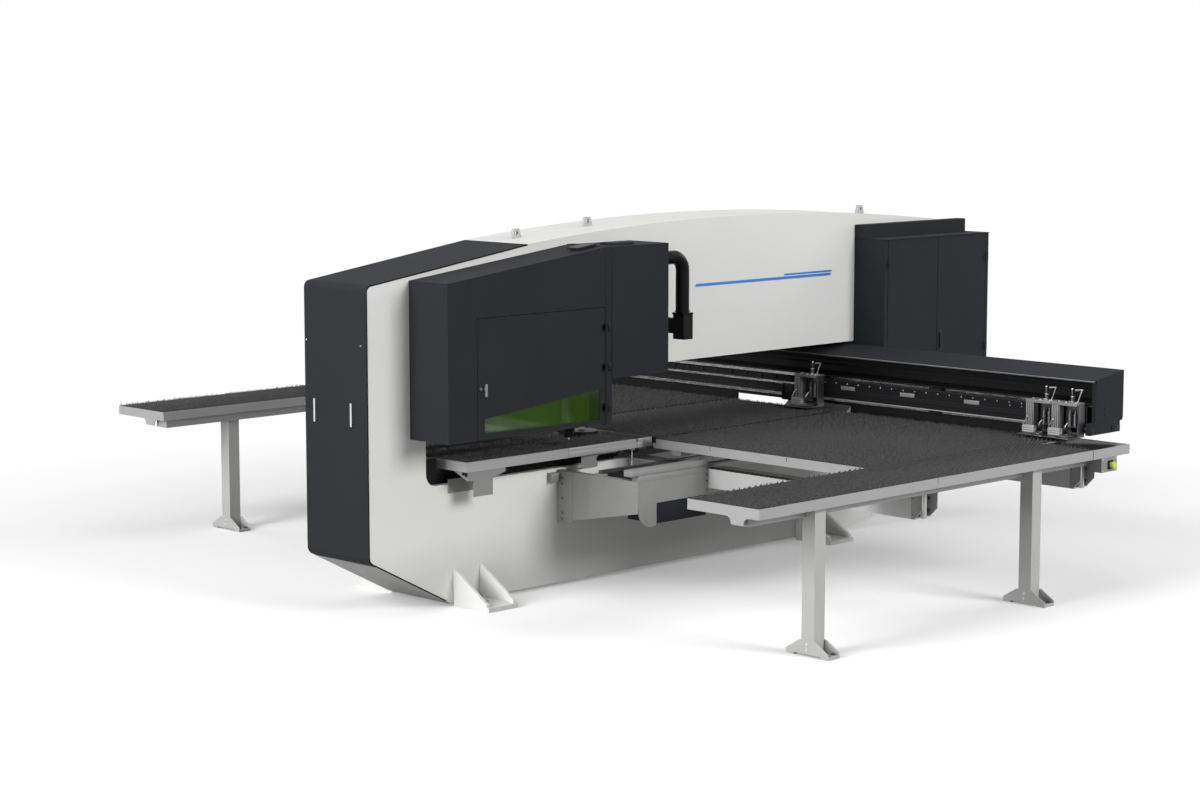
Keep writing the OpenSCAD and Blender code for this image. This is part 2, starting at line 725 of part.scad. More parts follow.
module leg_shoes() {
  ch = 5;
  color([0.62, 0.62, 0.62]) leg_places() {
    difference() {
      bx(-shoe_l / 2, shoe_l / 2, -post_w / 2 - ch, post_w / 2 + ch, 12, 20);
      for (s = [-1, 1], y = [-28, 28]) rod_z(s * (shoe_l / 2 - 30), y, 7, 11, 21);
    }
    for (s = [-1, 1]) difference() {
      bx(s > 0 ? shoe_l / 2 - 60 : -shoe_l / 2, s > 0 ? shoe_l / 2 : 60 - shoe_l / 2,
        -post_w / 2 - ch, post_w / 2 + ch, 0, 12);
      for (y = [-28, 28]) rod_z(s * (shoe_l / 2 - 30), y, 7, -eps, 13);
    }
    for (y = [-post_w / 2 - ch, post_w / 2])
      xz(y, y + ch) polygon([[-shoe_l / 2, 20], [shoe_l / 2, 20], [shoe_l / 2, 34],
        [post_w / 2 + 14, 96], [-post_w / 2 - 14, 96], [-shoe_l / 2, 34]]);
  }
}

module arm(x0, x1, y0) {
  difference() {
    bx(x0, x1, y0, y0 + arm_w, arm_z0, arm_z1);
    bx(x0 - eps, x1 + eps, y0 + arm_wall, y0 + arm_w - arm_wall, arm_z0 + arm_wall, arm_z1 - arm_wall);
  }
}
// open end of an arm: two cheeks with a cut corner, a floor and the levelling post
module arm_tip(x1, y0, side) {
  translate([x1, 0, 0]) mirror([side > 0 ? 0 : 1, 0, 0]) {
    for (y = [y0, y0 + arm_w - web_t]) xz(y, y + web_t)
      polygon([[-arm_end, arm_z0], [-arm_cut, arm_z0], [0, arm_z0 + arm_cut], [0, zbm], [-arm_end, zbm]]);
    bx(-arm_end, -arm_cut + 10, y0, y0 + arm_w, arm_z0, arm_z0 + web_t);
    rod_z(-arm_end + 29, y0 + arm_w / 2, 25, arm_z0, zbm);
  }
}
module support_arms() {
  color([0.62, 0.62, 0.62])
    for (y = arm_y) {
      arm(hw, arm_xr - arm_end, y);
      arm_tip(arm_xr, y, 1);
      arm(arm_xl + arm_end, -hw, y);
      arm_tip(arm_xl, y, -1);
    }
}
module table_brackets() {
  color([0.70, 0.70, 0.69])
    for (s = [0, 1]) mirror([s, 0, 0]) {
      xz(web_y, web_y + web_t)
        polygon([[hw, web_z0], [web_x, web_z1], [web_x, web_top], [hw, web_top]]);
      bx(hw, hw + web_t, web_y + web_t, web_y + 48, web_z0, web_top);
      bx(web_x - web_t, web_x, web_y + web_t, arm_y[0], web_z1 + 54, web_top);
      bx(rails_in - 40, rails_in + 40, web_y, web_y + 40, web_top, arm_z1);
    }
}
module y_rails() {
  color([0.80, 0.80, 0.82])
    for (s = [0, 1]) mirror([s, 0, 0]) {
      bx(rails_in - rail_w / 2, rails_in + rail_w / 2, rail_y0, rail_y1, arm_z1, rail_z1);
      xo = s > 0 ? rail_out_l : rail_out_r;
      bx(xo - rail_w / 2, xo + rail_w / 2, arm_y[0], rail_y1, arm_z1, rail_z1);
      bx(rails_in + 195, rails_in + 255, arm_y[0], rail_y1, arm_z1, arm_z1 + 12);
    }
}
module safety_box() {
  x1 = ox_r + outer_w;
  color([0.50, 0.50, 0.51]) difference() {
    bx(x1 - 72, x1, btn_y - 100, btn_y + 76, zr - 97, zr);
    rod_x(btn_y, btn_z, 8 + fit, x1 - 60, x1 + eps);
  }
}
module safety_button() {
  x1 = ox_r + outer_w;
  color([0.78, 0.86, 0.10]) {
    rod_x(btn_y, btn_z, 8, x1 - 50, x1 + 10);
    rod_x(btn_y, btn_z, 20, x1 + 8, x1 + 36);
  }
}
module brush_fixed() {
  color([0.20, 0.20, 0.20]) {
    brush_pad(sx0, sx1, sy0, flap_y0 - 3);
    brush_pad(sx0, flap_x - 3, flap_y0 - 3, sy1);
    brush_pad(-sx1, -sx0, sy0, sy1);
    brush_pad(-centre_x, centre_x, centre_y0, my1);
    brush_pad(ox_r, ox_r + outer_w, oy_r, seam_y - 3);
    brush_pad(ox_l, ox_l + outer_w, oy_l, oy1);
  }
}
module brush_moving() {
  color([0.20, 0.20, 0.20]) {
    brush_pad(mx_r, mx_r + move_w, my0, my1);
    brush_pad(mx_l, -mx_r, my0, my1);
  }
}
module moving_table(x0, x1, xs) {
  tray(x0, x1, my0, my1);
  for (x = xs) bx(x - sub_w / 2, x + sub_w / 2, my0 + 65, by1 - 120, sub_z0, zr);
}
module moving_table_right() {
  color([0.66, 0.66, 0.66]) moving_table(mx_r, mx_r + move_w, [rails_in, rail_out_r]);
}
module moving_table_left() {
  color([0.66, 0.66, 0.66]) moving_table(mx_l, -mx_r, [-rails_in, -rail_out_l]);
}
module y_blocks() {
  color([0.35, 0.35, 0.37]) {
    for (x = [rails_in, -rails_in], y = [my1 - 865, my1 - 175])
      bx(x - 30, x + 30, y, y + 80, rail_z1 + gap, sub_z0);
    for (x = [rail_out_r, -rail_out_l])
      bx(x - 30, x + 30, my1 - 175, my1 - 95, rail_z1 + gap, sub_z0);
    for (s = [0, 1]) mirror([s, 0, 0]) {
      bx(rails_in + 190, rails_in + 260, my1 - 435, my1 - 135, arm_z1 + 14, zr);
    }
  }
}

module x_beam() {
  color([0.10, 0.10, 0.11]) {
    bx(bx0 + end_t, bx1 - end_t, by0, by1, bz0, bz1);
    bx(bx0 + end_t, bx1 - end_t, box_y0, box_y1, bz1, bz2);
    bx(bx0 + end_t, bx1 - end_t, box_y1 - 30, box_y1, bz2, lid_z - 40);
    for (x = [[mx_r, mx_r + move_w], [mx_l, -mx_r]])
      bx(x[0] + side_gap, x[1] - side_gap, by0, by0 + 20, zr + side_gap, bz0);
    for (x = [rails_in, rail_out_r, -rails_in, -rail_out_l])
      bx(x - 40, x + 40, by0 + 20, by1 - 130, zr, bz0);
  }
}
module beam_lid() {
  color([0.22, 0.22, 0.24]) {
    yz(bx0, bx1) polygon([[lip_y, lip_z - 14], [lip_y, lip_z], [back_y, lid_z], [back_y, bz1 + 15],
      [back_y - lid_t, bz1 + 15], [back_y - lid_t, lid_z - lid_t - 1], [lip_y + lid_t, lip_z - lid_t], [lip_y + lid_t, lip_z - 14]]);
    for (x = [bx0, bx1 - end_t])
      yz(x, x + end_t) polygon([[lip_y + 20, bz0 + 80], [lip_y + 20, lip_z - 4],
        [back_y - lid_t, lid_z - lid_t - 1], [back_y - lid_t, bz1], [by1, bz1], [by1, bz0], [by0 - 85, bz0], [by0 - 85, bz0 + 80]]);
  }
}
module x_rails() {
  color([0.82, 0.82, 0.84]) {
    bx(bx0 + end_t, bx1 - end_t, box_y0 - xrail, box_y0, xr_up, xr_up + xrail);
    bx(bx0 + end_t, bx1 - end_t, by0 - xrail, by0, xr_lo, xr_lo + xrail);
    bx(bx0 + end_t, bx1 - end_t, box_y0 - 12, box_y0, bz0 + 105, bz0 + 120);
  }
}
module clamp_rail() {
  color([0.13, 0.13, 0.14]) {
    bx(carr_x0, carr_x1, carr_y0, carr_y1, carr_z0, carr_z1);
    for (x = [carr_x0 + 60, (carr_x0 + carr_x1) / 2 - 72, carr_x1 - 160]) {
      bx(x, x + 100, carr_y1, box_y0 - xrail - gap, xr_up - 8, xr_up + xrail + 8);
      bx(x, x + 100, carr_y1, by0 - xrail - gap, xr_lo - 4, carr_z0 + 30);
    }
    bx(carr_x0, carr_x1, trail_y, carr_y0, carr_z0 + 4, carr_z0 + 20);
    for (x = [417, 964, 1533]) bx(carr_x0 + x, carr_x0 + x + 131, carr_y0 - 6, carr_y0, bz0 + 122, bz0 + 150);
  }
}
module clamp(xc) {
  col_w = clamp_w * 0.6;
  translate([xc, 0, 0]) {
    bx(cl_x0, cl_x0 + col_w, cl_back - 95, cl_back - 35, cl_z, cl_top);
    bx(cl_x0, cl_x1, cl_back - 95, cl_back, cl_top, cl_top + 12);
    bx(cl_x0, cl_x1, cl_back - 12, cl_back, cl_z, cl_top);
    bx(cl_x1 - 8, cl_x1, cl_back - 70, cl_back, jaw_z1, cl_top);
    rod_z(75, cl_back - 50, 9, cl_top + 12, cl_top + 57);
    rod_z(75, cl_back - 50, 5, cl_top + 57, cl_top + 108);
    bx(cl_x0, jaw_x0 - 5, cl_back - 130, cl_back, jaw_z0, cl_z);
    bx(cl_x0, cl_x1, cl_back - 190, cl_back, jaw_z0, jaw_z1);
    difference() {
      for (x = [jaw_x0 - 5, 122]) bx(x, x + 5, jaw_hy - 14, cl_back, jaw_z1, cl_z);
      rod_x(jaw_hy, jaw_hz, 7 + fit, jaw_x0 - 6, 128);
    }
  }
}
module clamp_jaw(xc) {
  translate([xc, 0, 0]) {
    rod_x(jaw_hy, jaw_hz, 7, jaw_x0 - 5, 127);
    bx(jaw_x0 + gap, 122 - gap, jaw_hy - 7, jaw_hy + 7, jaw_z1 + 3, jaw_hz + 5);
    bx(jaw_x0 + gap, 122 - gap, cl_back - 188, jaw_hy, jaw_z1 + 3, jaw_z1 + 13);
  }
}
module clamp_1() { color([0.55, 0.55, 0.56]) clamp(clamps[0]); }
module clamp_2() { color([0.55, 0.55, 0.56]) clamp(clamps[1]); }
module clamp_3() { color([0.55, 0.55, 0.56]) clamp(clamps[2]); }
module clamp_1_jaw() { color([0.30, 0.30, 0.31]) clamp_jaw(clamps[0]); }
module clamp_2_jaw() { color([0.30, 0.30, 0.31]) clamp_jaw(clamps[1]); }
module clamp_3_jaw() { color([0.30, 0.30, 0.31]) clamp_jaw(clamps[2]); }

side_plate_right();
side_plate_left();
lower_box();
upper_box();
frame_feet();
front_cover();
top_cover();
nose_plate();
grip_strips();
lifting_lugs();
head_enclosure();
tall_cover();
conduit();
hinge_leaves();
cabinet();
cabinet_header();
panel_plate();
punch_cylinder();
die_bed();
tool_motor();
laser_slide();
strip_tables();
strip_brackets();
centre_table();
outer_table_right();
outer_table_left();
end_plate();
table_legs();
leg_shoes();
support_arms();
table_brackets();
y_rails();
safety_box();
brush_fixed();
brush_moving();
door();
door_window();
latch_lever();
cabinet_door_a();
cabinet_door_b();
cabinet_handle();
punch_ram();
tool_holder();
die_holder();
laser_head();
trap_flap();
safety_button();
x_beam();
beam_lid();
x_rails();
moving_table_right();
moving_table_left();
y_blocks();
clamp_rail();
clamp_1();
clamp_1_jaw();
clamp_2();
clamp_2_jaw();
clamp_3();
clamp_3_jaw();
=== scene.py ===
import json
import math

import bmesh
import bpy
import numpy as np
from mathutils import Matrix, Vector

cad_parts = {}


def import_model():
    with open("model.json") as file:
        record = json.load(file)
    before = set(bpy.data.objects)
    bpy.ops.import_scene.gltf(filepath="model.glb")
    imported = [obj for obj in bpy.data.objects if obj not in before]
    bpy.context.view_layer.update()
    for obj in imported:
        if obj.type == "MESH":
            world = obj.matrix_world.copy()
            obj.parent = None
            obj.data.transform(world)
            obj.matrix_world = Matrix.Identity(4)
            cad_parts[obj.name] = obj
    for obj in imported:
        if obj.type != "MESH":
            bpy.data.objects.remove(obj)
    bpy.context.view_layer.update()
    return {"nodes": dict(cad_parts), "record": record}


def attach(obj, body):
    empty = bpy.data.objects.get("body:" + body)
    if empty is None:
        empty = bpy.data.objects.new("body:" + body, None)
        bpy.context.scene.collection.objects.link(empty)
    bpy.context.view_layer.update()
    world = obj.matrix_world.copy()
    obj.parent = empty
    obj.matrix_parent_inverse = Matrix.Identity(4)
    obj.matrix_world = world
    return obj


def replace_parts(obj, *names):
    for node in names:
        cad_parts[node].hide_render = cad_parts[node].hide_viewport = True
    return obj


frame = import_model()
NODES = frame["nodes"]

# directions
RIGHT = (1, 0, 0)
FRONT = (0, -1, 0)
BACK = (0, 1, 0)
UP = (0, 0, 1)

# sizes of the CAD frame that the dressing repeats, in metres
SIDE_FACE = 0.304
COVER_FACE = -2.505
THROAT_FLOOR = 0.795
DOOR_FACE = 0.668
GLASS_FACE = 0.664
BRACKET_WEB = -0.879
BRACKET_END = 1.055
BEAM_X = (-3.185, 2.700)
CARRIAGE_X = (0.100, 2.645)
CARRIAGE_FACE = 1.795
LEGS = ((2.867, -1.255), (2.867, 0.882), (-2.980, -1.105), (-2.980, 0.882))

# heights of the tables and their outlines, as x0, x1, y0, y1
RIM_TOP = 0.950
RIM_LOW = 0.887
RIM_T = 0.008
BRUSH_LOW = 0.930
BRUSH_TOP = 0.968
TABLES = {
    "strip_front": (0.130, 0.475, -1.835, -0.934),
    "strip_rear": (0.130, 0.312, -0.934, -0.293),
    "strip_left": (-0.475, -0.130, -1.835, -0.293),
    "flap": (0.315, 0.475, -0.931, -0.293),
    "throat": (-0.128, 0.128, -1.835, -0.800),
    "die_front": (-0.128, 0.128, -0.797, -0.525),
    "bridge_right": (0.133, 0.475, -0.289, -0.144),
    "bridge_left": (-0.475, -0.133, -0.289, -0.144),
    "corner": (2.4015, 2.5440, 1.4345, 1.7350),
    "centre": (-0.500, 0.500, -0.140, 1.735),
    "outer_right": (2.401, 2.961, -1.843, 1.431),
    "outer_left": (-3.446, -2.886, -1.768, 1.853),
    "moving_right": (0.554, 2.395, -0.215, 1.735),
    "moving_left": (-2.880, -0.554, -0.215, 1.735),
}

# free sides of the tables, in the order -x, +x, -y, +y, where the top of the rim stays in sight
FREE_SIDES = {
    "strip_front": (0, 1, 1, 0),
    "flap": (0, 1, 0, 1),
    "strip_left": (1, 0, 1, 1),
    "outer_right": (0, 1, 1, 0),
    "outer_left": (1, 1, 1, 1),
    "moving_right": (0, 0, 1, 0),
    "moving_left": (0, 0, 1, 0),
}


# materials

MAT = {}


def bare(block):
    """The emptied node tree of a material or a world."""
    block.use_nodes = True
    block.node_tree.nodes.clear()
    return block.node_tree


def node(nt, kind, **values):
    """A new node, with the values on its sockets."""
    n = nt.nodes.new(kind)
    for socket, value in values.items():
        n.inputs[socket].default_value = value
    return n


def blank(name):
    """A new material with only a shader in it, kept under its name."""
    m = MAT[name] = bpy.data.materials.new(name)
    nt = bare(m)
    out = nt.nodes.new("ShaderNodeOutputMaterial")
    bsdf = nt.nodes.new("ShaderNodeBsdfPrincipled")
    nt.links.new(bsdf.outputs[0], out.inputs[0])
    return m, nt, bsdf


def noise(nt, coord, scale, detail=3.0, rough=0.55, stretch=None):
    if stretch:
        mp = node(nt, "ShaderNodeMapping", Scale=stretch)
        nt.links.new(coord, mp.inputs["Vector"])
        coord = mp.outputs[0]
    n = node(nt, "ShaderNodeTexNoise", Scale=scale, Detail=detail, Roughness=rough)
    nt.links.new(coord, n.inputs["Vector"])
    return n.outputs["Fac"]


def ramp(nt, fac, a, b, lo=0.3, hi=0.7):
    """Colour from a to b while fac goes from lo to hi."""
    r = nt.nodes.new("ShaderNodeValToRGB")
    r.color_ramp.elements[0].position = lo
    r.color_ramp.elements[0].color = (*a, 1)
    r.color_ramp.elements[1].position = hi
    r.color_ramp.elements[1].color = (*b, 1)
    nt.links.new(fac, r.inputs[0])
    return r.outputs[0]


def span(nt, fac, a, b, lo=0.3, hi=0.7):
    """Number from a to b while fac goes from lo to hi."""
    m = nt.nodes.new("ShaderNodeMapRange")
    m.inputs["From Min"].default_value = lo
    m.inputs["From Max"].default_value = hi
    m.inputs["To Min"].default_value = a
    m.inputs["To Max"].default_value = b
    nt.links.new(fac, m.inputs["Value"])
    return m.outputs[0]


def bump(nt, bsdf, height, strength, distance=0.001):
    b = node(nt, "ShaderNodeBump", Strength=strength, Distance=distance)
    nt.links.new(height, b.inputs["Height"])
    nt.links.new(b.outputs[0], bsdf.inputs["Normal"])


def material(name, col, vary=0.06, rough=0.45, rough_vary=0.06, metal=0.0, scale=3.0,
             grain=700.0, relief=0.05, coat=0.0, spec=0.5, stretch=None):
    """A finish whose tone drifts over the surface, with a fine grain in roughness and relief."""
    m, nt, b = blank(name)
    tc = nt.nodes.new("ShaderNodeTexCoord").outputs["Object"]
    tone = noise(nt, tc, scale, 4.0, 0.6, stretch)
    low = tuple(c * (1 - vary) for c in col)
    high = tuple(min(1.0, c * (1 + vary)) for c in col)
    nt.links.new(ramp(nt, tone, low, high), b.inputs["Base Color"])
    fine = noise(nt, tc, grain, 2.0, 0.5, stretch)
    nt.links.new(span(nt, fine, rough - rough_vary, rough + rough_vary), b.inputs["Roughness"])
    bump(nt, b, fine, relief)
    b.inputs["Metallic"].default_value = metal
    b.inputs["Coat Weight"].default_value = coat
    b.inputs["Specular IOR Level"].default_value = spec
    m.diffuse_color = (*col, 1)


def brush_material():
    """Bristles, with painted shade: dark at the foot among the strands and greyer at the lit tips."""
    m, nt, b = blank("brush")
    tc = nt.nodes.new("ShaderNodeTexCoord").outputs["Object"]
    xyz = nt.nodes.new("ShaderNodeSeparateXYZ")
    nt.links.new(tc, xyz.inputs[0])
    # painted shade: the colour goes from dark low among the strands to lighter at the tips
    up = span(nt, xyz.outputs["Z"], 0.0, 1.0, RIM_TOP, BRUSH_TOP)
    tone = noise(nt, tc, 22.0, 3.0)
    mix = nt.nodes.new("ShaderNodeMix")
    mix.data_type = "RGBA"
    nt.links.new(up, mix.inputs["Factor"])
    nt.links.new(ramp(nt, tone, (0.036, 0.036, 0.036), (0.050, 0.050, 0.050)), mix.inputs["A"])
    nt.links.new(ramp(nt, tone, (0.092, 0.092, 0.092), (0.127, 0.127, 0.126)), mix.inputs["B"])
    nt.links.new(mix.outputs["Result"], b.inputs["Base Color"])
    fine = noise(nt, tc, 300.0, 2.0)
    nt.links.new(span(nt, fine, 0.50, 0.66), b.inputs["Roughness"])
    bump(nt, b, fine, 0.1)
    b.inputs["Specular IOR Level"].default_value = 0.08
    m.diffuse_color = (0.07, 0.07, 0.07, 1)


def glass_material():
    """Green safety glass that lets the inside of the enclosure show a little."""
    m, nt, b = blank("green_glass")
    tc = nt.nodes.new("ShaderNodeTexCoord").outputs["Object"]
    tone = noise(nt, tc, 1.6, 3.0)
    nt.links.new(ramp(nt, tone, (0.020, 0.052, 0.004), (0.034, 0.080, 0.007)), b.inputs["Base Color"])
    fine = noise(nt, tc, 60.0, 2.0)
    nt.links.new(span(nt, fine, 0.06, 0.12), b.inputs["Roughness"])
    b.inputs["Alpha"].default_value = 0.78
    b.inputs["IOR"].default_value = 1.49
    m.diffuse_color = (0.05, 0.12, 0.01, 0.8)


material("white_paint", (0.69, 0.69, 0.67), 0.02, 0.46, 0.05, scale=1.2, grain=420, spec=0.12)
material("dark_paint", (0.0192, 0.0205, 0.0240), 0.06, 0.72, 0.06, scale=2.0, grain=900, relief=0.12,
         spec=0.07)
material("grey_paint", (0.405, 0.405, 0.40), 0.03, 0.44, 0.05, scale=2.5, grain=600, spec=0.35)
# darker grey paint, made darker still as painted shade for brackets and plates that stand in the shadow of
# the tables
material("darker_grey_and_painted_shade", (0.205, 0.205, 0.20), 0.05, 0.44, 0.06, scale=3.5, grain=500)
material("table_rim", (0.315, 0.315, 0.315), 0.04, 0.40, 0.05, metal=0.1, scale=3.0, grain=300,
         stretch=(1, 1, 6))
brush_material()
material("bright_steel", (0.74, 0.74, 0.75), 0.04, 0.24, 0.06, metal=1.0, scale=8.0, grain=260,
         relief=0.03, stretch=(0.05, 1, 1))
material("machined_steel", (0.50, 0.50, 0.51), 0.06, 0.32, 0.07, metal=1.0, scale=12.0, grain=400,
         stretch=(1, 1, 0.1))
material("dark_steel", (0.12, 0.12, 0.125), 0.10, 0.36, 0.07, metal=0.9, scale=14.0, grain=350)
material("black_paint", (0.010, 0.010, 0.011), 0.10, 0.40, 0.06, scale=3.0, grain=800, spec=0.12)
material("black_rubber", (0.009, 0.009, 0.009), 0.15, 0.60, 0.08, scale=6.0, grain=300, relief=0.15,
         spec=0.08)
material("black_plastic", (0.012, 0.012, 0.012), 0.10, 0.42, 0.06, scale=5.0, grain=500, relief=0.08,
         spec=0.14)
material("zinc_plate", (0.60, 0.60, 0.58), 0.08, 0.38, 0.08, metal=0.9, scale=18.0, grain=200)
material("aluminium", (0.66, 0.66, 0.67), 0.04, 0.34, 0.06, metal=0.9, scale=7.0, grain=320)
material("lime_plastic", (0.50, 0.60, 0.02), 0.05, 0.28, 0.04, scale=9.0, grain=300, relief=0.03,
         coat=0.3)
glass_material()
# painted shade for the end of the window pane in front of the post
material("green_painted_shade", (0.010, 0.026, 0.002), 0.10, 0.12, 0.03, scale=4.0, grain=80, relief=0.01)
material("gloss_black", (0.008, 0.008, 0.009), 0.08, 0.28, 0.03, scale=4.0, grain=200, relief=0.01,
         spec=0.06)
material("blue_stripe", (0.02, 0.17, 0.52), 0.05, 0.38, 0.05, scale=5.0, grain=400)


# mesh building

def arc(cy, cz, r, a0, a1, n=8):
    """Points of an arc from a0 to a1 degrees."""
    out = []
    for i in range(n + 1):
        a = math.radians(a0 + (a1 - a0) * i / n)
        out.append((cy + r * math.cos(a), cz + r * math.sin(a)))
    return out


def ring_gap(a, b, s):
    """How far two rings of corners lie apart when the second is turned by s corners."""
    n = len(a)
    return sum((a[k].co - b[(k + s) % n].co).length for k in range(n))


def add(name, data):
    """A new object in the scene."""
    ob = bpy.data.objects.new(name, data)
    bpy.context.scene.collection.objects.link(ob)
    return ob


def place(name, me, mat, body):
    """An object of the mesh, with its material, on the body that it rides on."""
    ob = add(name, me)
    me.materials.append(MAT[mat])
    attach(ob, body)
    return ob


class Piece:
    """Collects shapes in the shared frame, in metres, and makes one object of them."""

    def __init__(self):
        self.bm = bmesh.new()

    def vert(self, p, axis, a):
        """A corner at a on the axis; p holds its other two coordinates."""
        q = list(p)
        q.insert(axis, a)
        return self.bm.verts.new(q)

    def box(self, x0, x1, y0, y1, z0, z1, bevel=0.0):
        """A box, with its edges rounded by bevel."""
        vs = bmesh.ops.create_cube(self.bm, size=1.0)["verts"]
        m = Matrix.Translation(((x0 + x1) / 2, (y0 + y1) / 2, (z0 + z1) / 2))
        m = m @ Matrix.Diagonal((x1 - x0, y1 - y0, z1 - z0, 1))
        bmesh.ops.transform(self.bm, matrix=m, verts=vs)
        if bevel:
            es = list(dict.fromkeys(e for v in vs for e in v.link_edges))
            bmesh.ops.bevel(self.bm, geom=es, offset=bevel, segments=2, profile=0.5, affect="EDGES")
        return self

    def rod(self, p0, p1, r0, r1=None, seg=16):
        """A round bar or cone from p0 to p1."""
        p0, p1 = Vector(p0), Vector(p1)
        d = p1 - p0
        vs = bmesh.ops.create_cone(self.bm, cap_ends=True, segments=seg, radius1=r0,
                                   radius2=r0 if r1 is None else r1, depth=d.length)["verts"]
        m = Matrix.Translation((p0 + p1) / 2) @ d.to_track_quat("Z", "Y").to_matrix().to_4x4()
        bmesh.ops.transform(self.bm, matrix=m, verts=vs)
        return self

    def tube(self, pts, r, seg=10):
        """A bent bar through the points."""
        pts = [Vector(p) for p in pts]
        rings = []
        for i, p in enumerate(pts):
            t = (pts[min(i + 1, len(pts) - 1)] - pts[max(i - 1, 0)]).normalized()
            q = t.to_track_quat("Z", "Y").to_matrix()
            ring = []
            for k in range(seg):
                a = 2 * math.pi * k / seg
                ring.append(self.bm.verts.new(p + q @ Vector((r * math.cos(a), r * math.sin(a), 0))))
            rings.append(ring)
        for a, b in zip(rings, rings[1:]):
            near = min(range(seg), key=lambda s: ring_gap(a, b, s))
            b[:] = b[near:] + b[:near]
            for k in range(seg):
                self.bm.faces.new((a[k], a[(k + 1) % seg], b[(k + 1) % seg], b[k]))
        self.bm.faces.new(rings[0][::-1])
        self.bm.faces.new(rings[-1])
        return self

    def prism(self, pts, axis, a0, a1):
        """An outline pushed along an axis from a0 to a1; its points leave that axis out."""
        lo = [self.vert(p, axis, a0) for p in pts]
        hi = [self.vert(p, axis, a1) for p in pts]
        n = len(pts)
        self.bm.faces.new(lo[::-1])
        self.bm.faces.new(hi)
        for i in range(n):
            self.bm.faces.new((lo[i], lo[(i + 1) % n], hi[(i + 1) % n], hi[i]))
        return self

    def band(self, a, b, axis, c0, c1, closed=False):
        """A flat strip between two paths with as many points, pushed from c0 to c1 along the axis."""
        corners = ((a, c0), (b, c0), (b, c1), (a, c1))
        rows = [[self.vert(p, axis, c) for p in path] for path, c in corners]
        n = len(a)
        for i in range(n if closed else n - 1):
            j = (i + 1) % n
            for k in range(4):
                u, v = rows[k], rows[(k + 1) % 4]
                self.bm.faces.new((u[i], u[j], v[j], v[i]))
        if not closed:
            for i in (0, n - 1):
                self.bm.faces.new([row[i] for row in rows])
        return self

    def ring(self, centre, axis, r, t, seg=24, tseg=8):
        """A round ring of radius r and thickness t about an axis."""
        q = Vector(axis).to_track_quat("Z", "Y").to_matrix()
        c = Vector(centre)
        rows = []
        for i in range(seg):
            a = 2 * math.pi * i / seg
            row = []
            for k in range(tseg):
                b = 2 * math.pi * k / tseg
                w = r + t * math.cos(b)
                at = Vector((w * math.cos(a), w * math.sin(a), t * math.sin(b)))
                row.append(self.bm.verts.new(c + q @ at))
            rows.append(row)
        for i in range(seg):
            a, b = rows[i], rows[(i + 1) % seg]
            for k in range(tseg):
                self.bm.faces.new((a[k], b[k], b[(k + 1) % tseg], a[(k + 1) % tseg]))
        return self

    def screw(self, p, axis, r, h):
        """A cap screw head with a hexagon in its face, standing on p."""
        p, d = Vector(p), Vector(axis).normalized()
        self.rod(p, p + d * h * 0.8, r, seg=18)
        self.rod(p + d * h * 0.8, p + d * h, r, r * 0.85, seg=18)
        self.rod(p + d * (h - 0.0002), p + d * (h + 0.0004), r * 0.5, seg=6)
        return self

    def bolt(self, p, r):
        """A hexagon bolt on a washer, standing upright on p."""
        p, up = Vector(p), Vector(UP)
        self.rod(p, p + up * r * 0.25, r * 1.5, seg=20)
        self.rod(p + up * r * 0.25, p + up * r * 0.95, r, seg=6)
        self.rod(p + up * r * 0.95, p + up * r * 1.05, r * 0.85, r * 0.7, seg=12)
        return self

    def done(self, name, mat, body, smooth=35.0):
        """Makes the object; edges sharper than smooth degrees stay sharp."""
        bmesh.ops.recalc_face_normals(self.bm, faces=self.bm.faces)
        me = bpy.data.meshes.new(name)
        self.bm.to_mesh(me)
        self.bm.free()
        for p in me.polygons:
            p.use_smooth = True
        me.set_sharp_from_angle(angle=math.radians(smooth))
        return place(name, me, mat, body)


# CAD nodes take the material of their slot in the record, some of them another material; the darker grey of
# the brackets and the nose plate is partly painted shade

SHADES = {
    "nose_plate": "darker_grey_and_painted_shade",
    "strip_brackets": "darker_grey_and_painted_shade",
    "table_brackets": "darker_grey_and_painted_shade",
    "safety_box": "darker_grey_and_painted_shade",
    "latch_lever": "darker_grey_and_painted_shade",
    "lifting_lugs": "grey_paint",
    "die_bed": "dark_steel",
    "die_holder": "black_paint",
    "tool_motor": "dark_steel",
    "y_rails": "dark_steel",
    "clamp_1": "dark_steel",
    "clamp_2": "dark_steel",
    "clamp_3": "dark_steel",
}


def paint_nodes():
    for sub in frame["record"]["subparts"]:
        ob = NODES[sub["node"]]
        ob.data.materials.clear()
        ob.data.materials.append(MAT[SHADES.get(sub["node"], sub["material_slot"])])


# folded sheet and welded parts get a small rounding on their edges

ROUNDED = (
    "side_plate_right", "side_plate_left", "upper_box", "lower_box", "frame_feet", "front_cover",
    "top_cover", "nose_plate", "head_enclosure", "tall_cover", "cabinet", "cabinet_header",
    "strip_tables", "centre_table", "strip_brackets", "table_brackets", "outer_table_right",
    "outer_table_left", "end_plate", "table_legs", "leg_shoes", "support_arms", "safety_box", "x_beam",
    "beam_lid", "moving_table_right", "moving_table_left", "clamp_rail",
)


def round_edges(width=0.0018):
    for name in ROUNDED:
        ob = NODES[name]
        weld = ob.modifiers.new("weld", "WELD")
        weld.merge_threshold = 0.00005
        bevel = ob.modifiers.new("bevel", "BEVEL")
        bevel.width = width
        bevel.segments = 2
        bevel.limit_method = "ANGLE"
        bevel.angle_limit = math.radians(40)
        bevel.harden_normals = True


# brush fields: tufts of leaning strands over a dark base

NEAR_PITCH = 0.024
FAR_PITCH = 0.027
STRANDS = 6
STRAND_R = (0.0022, 0.0032)
FOOT_Z = RIM_TOP + 0.001
FOOT_REACH = 0.0016
TIP_REACH = (0.001, 0.0075)
TIP_UNEVEN = 0.003
SHORT_SHARE = 0.40
SHORT_BY = (0.005, 0.009)
FIT = 0.0005

